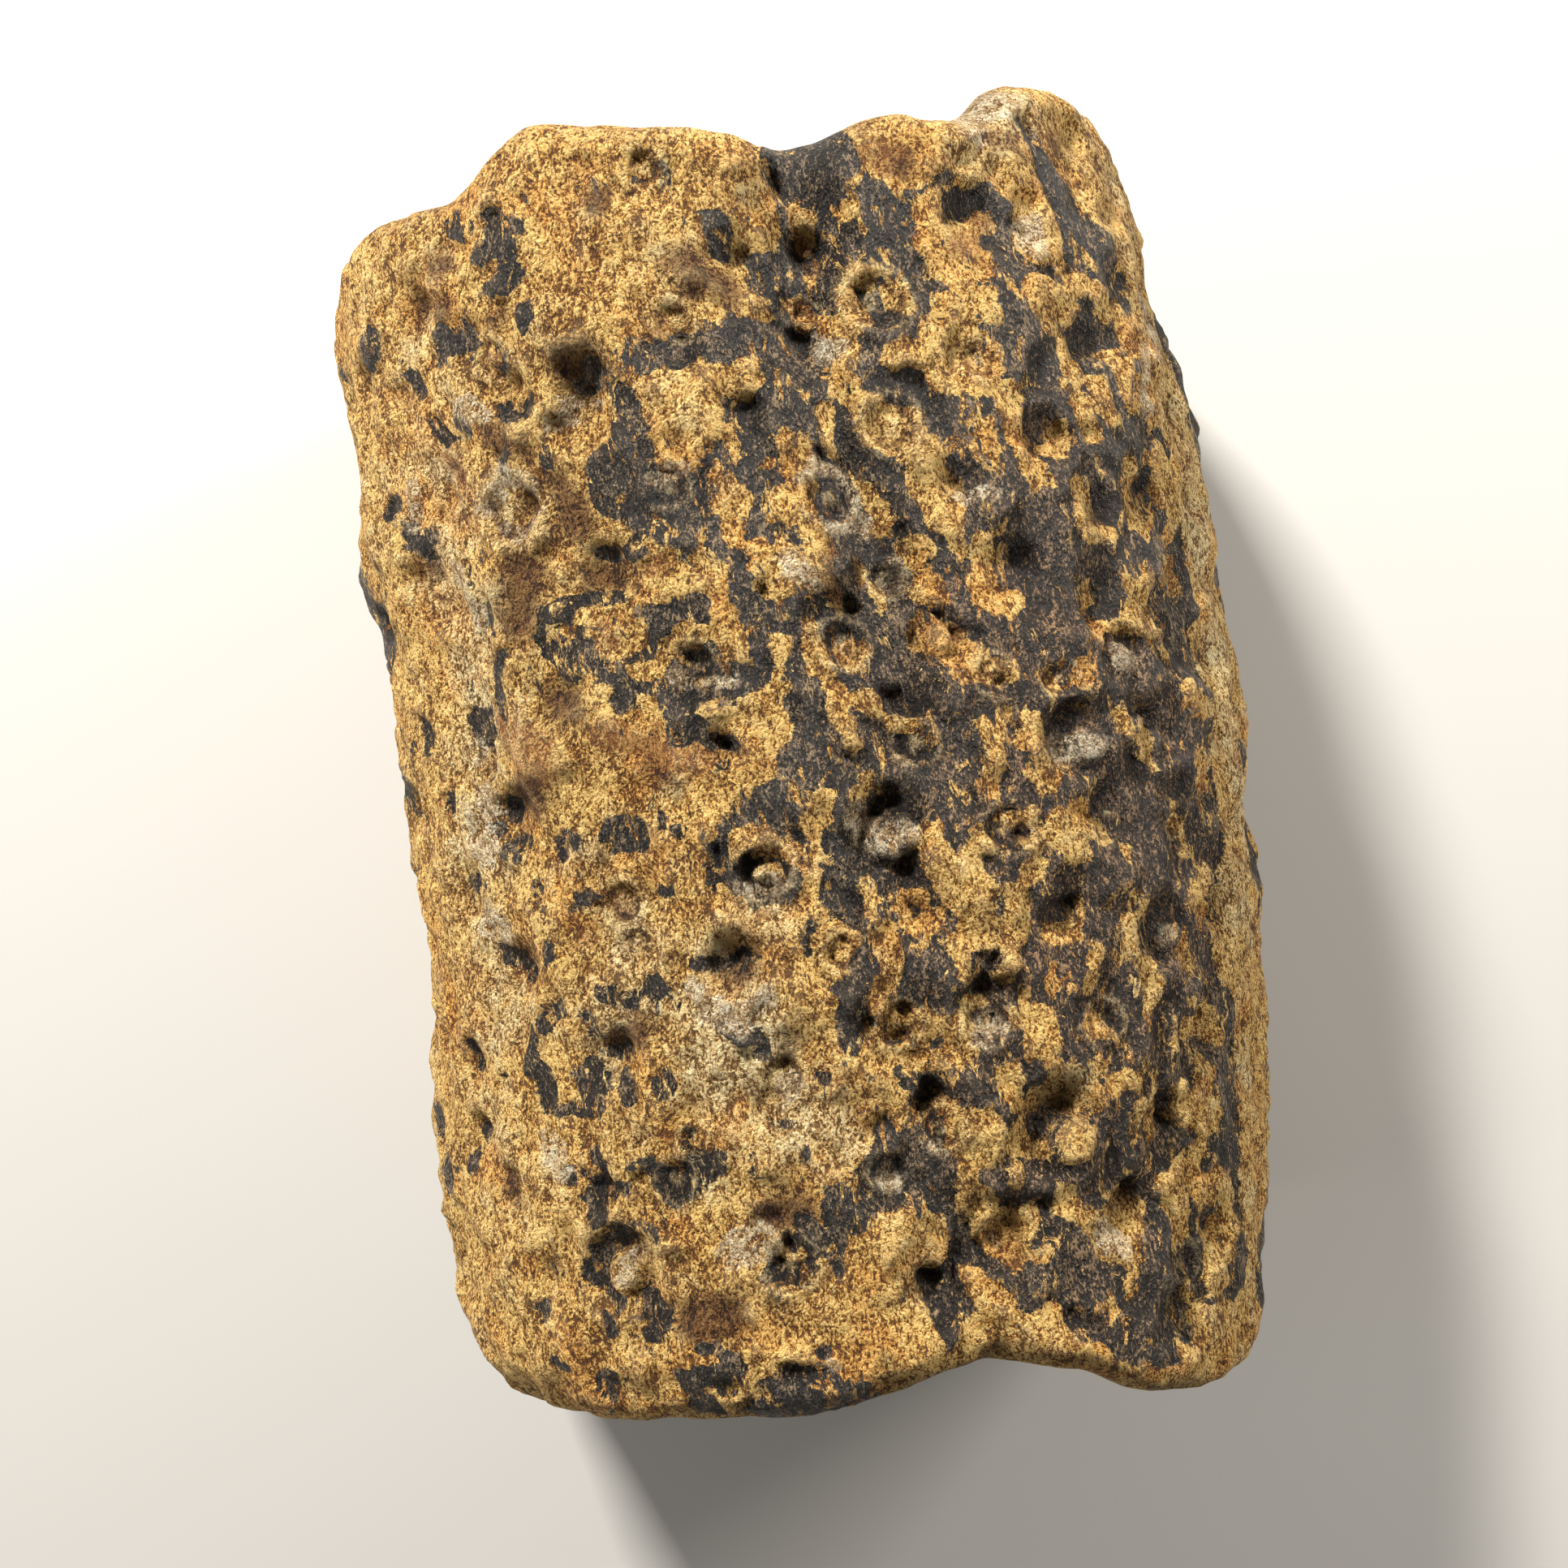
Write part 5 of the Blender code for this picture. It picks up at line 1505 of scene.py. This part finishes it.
        skin_colour = sheet.mix(is_blue, brown.outputs["Colour"], blue.outputs["Colour"])
        colour = sheet.mix(is_dark, self.crust_colour(crust, pale), skin_colour)
        chalky = self.mask(self.cream, finish.chalk_edge)
        on_grains = sheet.step(crust.outputs["Height"], *finish.chalk_heights)
        chalky = sheet.math("MULTIPLY", chalky, on_grains)
        colour = sheet.layer(colour, chalky, finish.chalk_share, chalk.outputs["Colour"])
        colour = self.with_painted_light(self.scarred(colour, pale), is_dark)
        is_broken = sheet.step(self.broken, *finish.broken_from)
        colour = sheet.mix(is_broken, colour, broken.outputs["Colour"])
        roughness = sheet.step(is_dark, 0.0, 1.0, finish.crust_roughness, finish.skin_roughness)

        shader = sheet.tree.nodes["Principled BSDF"]
        sheet.tree.links.new(colour, shader.inputs["Base Color"])
        sheet.tree.links.new(roughness, shader.inputs["Roughness"])
        sheet.tree.links.new(self.bump(crust, blue, is_dark), shader.inputs["Normal"])
        shader.inputs["Specular IOR Level"].default_value = finish.specular


@dataclass
class RootCast:
    """The root itself: one closed mesh of the form, its relief and its marks."""

    form: RootForm = field(default_factory=RootForm)
    relief: SkinRelief = field(default_factory=SkinRelief)
    marks: SkinMarks = field(default_factory=SkinMarks)
    finish: StoneFinish = field(default_factory=StoneFinish)
    columns: int = 400
    end_rows: int = 14
    rim_rows: int = 7
    side_rows: int = 190
    dense_half_girth: float = 78.0
    dense_share: float = 0.40
    brown_zone: tuple[float, ...] = (27, -12, 22, 48, 1.0)
    # Paler crust: the inner bells are pale stone; those along the flanks (s -42, -45 and 54) are partly
    # painted highlight where the side lamps light the flanks
    pale_stone_and_lit_flanks: tuple[tuple[float, ...], ...] = (
        (-42, 22, 8, 30, 0.55), (-45, -14, 7, 26, 0.45), (-12, -24, 9, 15, 0.6),
        (-4, -34, 6, 10, 0.5), (54, 10, 6, 70, 0.4), (-30, 33, 6, 6, 0.4), (33, 68, 8, 7, 0.55),
        (-26, -14, 9, 12, 0.45),
    )
    cavity_reach: int = 9
    broken_from: Pair = (0.86, 0.98)
    scar_reach: float = 3.0
    scar_fade: Pair = (1.5, 1.8)

    def grid(self) -> dict[str, np.ndarray]:
        """The parameters of every vertex, row by row from the far end to the near end.

        Columns lie round the girth, most of them over the crest and flanks. Rows lie over the
        far end, round its rim, along the side, round the near rim and over the near end. The
        two poles, in the middle of the ends, are one vertex each and come last.

        Returns:
            turn, s, along and reach for each vertex.
        """
        turn_scale, s_scale = self.form.girth_scale()
        share = np.arange(self.columns) / self.columns - 0.5
        knots = [0.0, self.dense_share, 0.5]
        s = np.sign(share) * np.interp(np.abs(share), knots, [0.0, self.dense_half_girth, s_scale[-1]])
        turn = np.interp(s, s_scale, turn_scale)

        rim = 1 - 2 * self.form.end_rounding / self.form.length
        over = np.arange(1, self.end_rows + 1) / self.end_rows
        quarter = np.arange(1, self.rim_rows + 1) / self.rim_rows * math.pi / 2
        round_rim = 1 - (1 - rim) * np.sin(quarter) ** 2
        side = np.linspace(rim, -rim, self.side_rows + 2)[1:-1]
        half = np.concatenate([np.ones(self.end_rows), round_rim])
        along = np.concatenate([half, side, -half[::-1]])
        half = np.concatenate([over, np.ones(self.rim_rows)])
        reach = np.concatenate([half, np.ones(self.side_rows), half[::-1]])

        rows = len(along)
        return {
            "turn": np.append(np.tile(turn, rows), [0.0, 0.0]),
            "s": np.append(np.tile(s, rows), [0.0, 0.0]),
            "along": np.append(np.repeat(along, self.columns), [1.0, -1.0]),
            "reach": np.append(np.repeat(reach, self.columns), [0.0, 0.0]),
        }

    def bells(self, zones: tuple, s: np.ndarray, t: np.ndarray) -> np.ndarray:
        """The highest of some bells, each given by its s, t, two reaches and height.

        Args:
            zones: the bells.
            s: places round the girth.
            t: places along the root.

        Returns:
            The height of the highest bell at each place.
        """
        share = np.zeros(s.shape)
        for s0, t0, s_reach, t_reach, top in zones:
            bell = top * np.exp(-(((s - s0) / s_reach) ** 2) - ((t - t0) / t_reach) ** 2)
            share = np.maximum(share, bell)
        return share

    def cavity(self, height: np.ndarray) -> np.ndarray:
        """How far each point stands above the mean of its neighbourhood, below 0 in a hollow.

        Args:
            height: the height of every vertex.

        Returns:
            The rise at every vertex.
        """
        net = height[:-2].reshape(-1, self.columns)
        mean = net.copy()
        for _ in range(self.cavity_reach):
            padded = np.pad(mean, ((1, 1), (0, 0)), mode="edge")
            mean = (padded[:-2] + padded[2:] + np.roll(mean, 1, 1) + np.roll(mean, -1, 1) + mean) / 5
        return np.append((net - mean).ravel(), [0.0, 0.0])

    def scar_places(self, s: np.ndarray, t: np.ndarray, scars: list[Scar]) -> np.ndarray:
        """Where each vertex lies in its nearest scar, in radii, and that scar's kind.

        Args:
            s: places round the girth.
            t: places along the root.
            scars: the scars.

        Returns:
            For each vertex the shift in s and t over the radius, and the kind's sign, faded
            out between scars.
        """
        nearest = np.full(s.shape, np.inf)
        place = np.zeros((len(s), 3))
        for scar in scars:
            across, along = (s - scar.s) / scar.radius, (t - scar.t) / scar.radius
            distance = np.hypot(across, along)
            closer = distance < nearest
            nearest = np.where(closer, distance, nearest)
            sign = np.full(s.shape, SCAR_SIGNS[scar.kind])
            place[closer] = np.stack([across, along, sign], 1)[closer]
        place[:, :2] = np.clip(place[:, :2], -self.scar_reach, self.scar_reach)
        place[:, 2] *= 1 - ease(nearest, *self.scar_fade)
        return place

    def fit(self, points: np.ndarray) -> np.ndarray:
        """The points in metres, scaled a little to fill the box of the solid they stand for.

        Args:
            points: the points in millimetres.

        Returns:
            The points in metres.
        """
        low, high = points.min(axis=0), points.max(axis=0)
        box_low, box_high = (np.array(corner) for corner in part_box(NODE))
        return box_low + (points - low) / (high - low) * (box_high - box_low)

    def faces(self) -> tuple[np.ndarray, np.ndarray]:
        """The faces: a quad between each pair of rows and columns, and a fan at each pole.

        Returns:
            The vertices of the faces one after another, and how many each face has.
        """
        vertices = self.columns * (2 * self.end_rows + 2 * self.rim_rows + self.side_rows)
        net = np.arange(vertices).reshape(-1, self.columns)
        beside = np.roll(net, -1, axis=1)
        quads = np.stack([net[:-1], net[1:], beside[1:], beside[:-1]], axis=2).reshape(-1, 4)
        far = np.stack([np.full(self.columns, vertices), net[0], beside[0]], axis=1)
        near = np.stack([np.full(self.columns, vertices + 1), beside[-1], net[-1]], axis=1)
        sizes = np.concatenate([np.full(len(quads), 4), np.full(2 * self.columns, 3)])
        return np.concatenate([quads.ravel(), far.ravel(), near.ravel()]), sizes

    def fill(self, points: np.ndarray) -> bpy.types.Mesh:
        """A mesh of the points and the grid's faces, shaded smooth.

        Args:
            points: the points in metres.

        Returns:
            The mesh.
        """
        corners, sizes = self.faces()
        mesh = bpy.data.meshes.new("weathered_root")
        mesh.vertices.add(len(points))
        mesh.vertices.foreach_set("co", points.astype(np.float32).ravel())
        mesh.loops.add(len(corners))
        mesh.loops.foreach_set("vertex_index", corners.astype(np.int32))
        mesh.polygons.add(len(sizes))
        starts = np.concatenate([[0], np.cumsum(sizes)[:-1]]).astype(np.int32)
        mesh.polygons.foreach_set("loop_start", starts)
        mesh.update(calc_edges=True)
        mesh.validate()
        mesh.shade_smooth()
        return mesh

    def build(self) -> bpy.types.Object:
        """Builds the piece, gives it its marks as attributes and dresses it.

        Returns:
            The piece, on the model's body and in place of the plain solid.
        """
        at = self.grid()
        scars = all_scars(self.form.length)
        plain = self.form.points(at["turn"], at["along"], at["reach"])
        s, t = at["s"], plain[:, 1]
        depths = self.marks.depths(s, t, plain)
        skin, end = self.relief.heights(s, plain, at["reach"], depths, scars)
        outward = [skin * np.sin(at["turn"]), end * np.sign(at["along"]), skin * np.cos(at["turn"])]
        points = plain + np.stack(outward, axis=1)
        points[:, 2] = np.maximum(points[:, 2], 0.0)

        mesh = self.fill(self.fit(points))
        tones = [depths[tone] for tone in (Tone.CHARCOAL, Tone.CREAM, Tone.RUST)]
        blue = 1 - self.bells((self.brown_zone,), s, t)
        broken = 1 - ease(at["reach"], *self.broken_from)
        pale = self.bells(self.pale_stone_and_lit_flanks, s, t)
        attributes = {
            "tone_depths": np.stack(tones, 1),
            "painted_shade_and_zones": np.stack([depths[Tone.SHADE], blue, broken], 1),
            "scar_place": self.scar_places(s, t, scars),
            "surface": np.stack([self.cavity(skin + end), depths[Tone.PIT], pale], 1),
        }
        for name, values in attributes.items():
            layer = mesh.attributes.new(name, "FLOAT_VECTOR", "POINT")
            layer.data.foreach_set("vector", values.astype(np.float32).ravel())
        mesh.materials.append(self.finish.material())

        piece = bpy.data.objects.new("weathered_root", mesh)
        bpy.context.scene.collection.objects.link(piece)
        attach(piece, "root")
        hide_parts(NODE)
        return piece


@dataclass(frozen=True)
class SoftLight:
    """A large rectangular lamp that faces the middle of the root."""

    name: str
    azimuth: float
    elevation: float
    distance: float
    size: Pair
    power: float
    colour: Triple

    def build(self, target: Vector) -> bpy.types.Object:
        """Places the lamp by its angles round the target, azimuth 0 being towards +Y.

        Args:
            target: the point that the lamp faces.

        Returns:
            The lamp.
        """
        data = bpy.data.lights.new(self.name, "AREA")
        data.shape = "RECTANGLE"
        data.size, data.size_y = self.size
        data.energy = self.power
        data.color = self.colour
        azimuth, elevation = math.radians(self.azimuth), math.radians(self.elevation)
        away = Vector((
            math.sin(azimuth) * math.cos(elevation), math.cos(azimuth) * math.cos(elevation),
            math.sin(elevation),
        ))
        lamp = bpy.data.objects.new(self.name, data)
        lamp.location = target + away * self.distance
        lamp.rotation_euler = away.to_track_quat("Z", "Y").to_euler()
        bpy.context.scene.collection.objects.link(lamp)
        return lamp


@dataclass
class Studio:
    """A pale floor, soft lamps and a camera that looks straight down from close by."""

    floor_half: float = 2.0
    floor_colour: Colour = (0.50, 0.49, 0.47, 1.0)
    floor_roughness: float = 0.9
    sky_colour: Colour = (1.0, 0.97, 0.93, 1.0)
    sky_strength: float = 0.20
    camera_place: Triple = (-4.5, -0.4, 226.0)
    camera_roll: float = 8.0
    lens: float = 36.98
    sensor: float = 36.0
    sees_from: float = 0.01
    lamps: tuple[SoftLight, ...] = (
        SoftLight("key_from_far_end", -22.0, 28.0, 0.75, (0.12, 0.08), 16.0, (1.0, 0.96, 0.90)),
        SoftLight("left_side", -92.0, 13.0, 0.70, (0.35, 0.20), 2.4, (1.0, 0.95, 0.88)),
        SoftLight("right_side", 66.0, 17.0, 0.70, (0.25, 0.15), 6.0, (1.0, 0.95, 0.88)),
    )

    def floor(self) -> bpy.types.Object:
        """A flat square that the root rests on.

        Returns:
            The floor, which is no part of the model.
        """
        half = self.floor_half
        mesh = bpy.data.meshes.new("studio_floor")
        corners = [(-half, -half, 0.0), (half, -half, 0.0), (half, half, 0.0), (-half, half, 0.0)]
        mesh.from_pydata(corners, [], [(0, 1, 2, 3)])
        material = bpy.data.materials.new("pale_floor")
        material.use_nodes = True
        shader = material.node_tree.nodes["Principled BSDF"]
        shader.inputs["Base Color"].default_value = self.floor_colour
        shader.inputs["Roughness"].default_value = self.floor_roughness
        mesh.materials.append(material)
        floor = bpy.data.objects.new("studio_floor", mesh)
        bpy.context.scene.collection.objects.link(floor)
        return floor

    def sky(self) -> None:
        """An even, pale light from all round."""
        world = bpy.data.worlds.new("studio_sky")
        world.use_nodes = True
        back = world.node_tree.nodes["Background"]
        back.inputs["Color"].default_value = self.sky_colour
        back.inputs["Strength"].default_value = self.sky_strength
        bpy.context.scene.world = world

    def camera(self) -> bpy.types.Object:
        """The camera, straight above, rolled so that the far end points up and to the left.

        Returns:
            The camera.
        """
        data = bpy.data.cameras.new("camera")
        data.lens = self.lens
        data.sensor_width = self.sensor
        data.clip_start = self.sees_from
        camera = bpy.data.objects.new("camera", data)
        turn = Matrix.Rotation(math.radians(-self.camera_roll), 4, "Z")
        camera.matrix_world = Matrix.Translation(Vector(self.camera_place) * MM) @ turn
        bpy.context.scene.collection.objects.link(camera)
        bpy.context.scene.camera = camera
        return camera

    def build(self) -> None:
        """Sets up the floor, the lamps, the sky and the camera."""
        self.floor()
        self.sky()
        low, high = (Vector(corner) for corner in CAD_BOX)
        for lamp in self.lamps:
            lamp.build((low + high) / 2)
        self.camera()
        bpy.context.scene.view_settings.view_transform = "Standard"


def main() -> None:
    """Builds the studio and the root, and reports each piece."""
    logging.basicConfig(level=logging.INFO, format="%(message)s")
    Studio().build()
    LOG.info("studio: floor, lamps, sky and camera")
    piece = RootCast().build()
    mesh = piece.data
    LOG.info("%s: %d vertices, %d faces", piece.name, len(mesh.vertices), len(mesh.polygons))


if __name__ == "__main__":
    main()
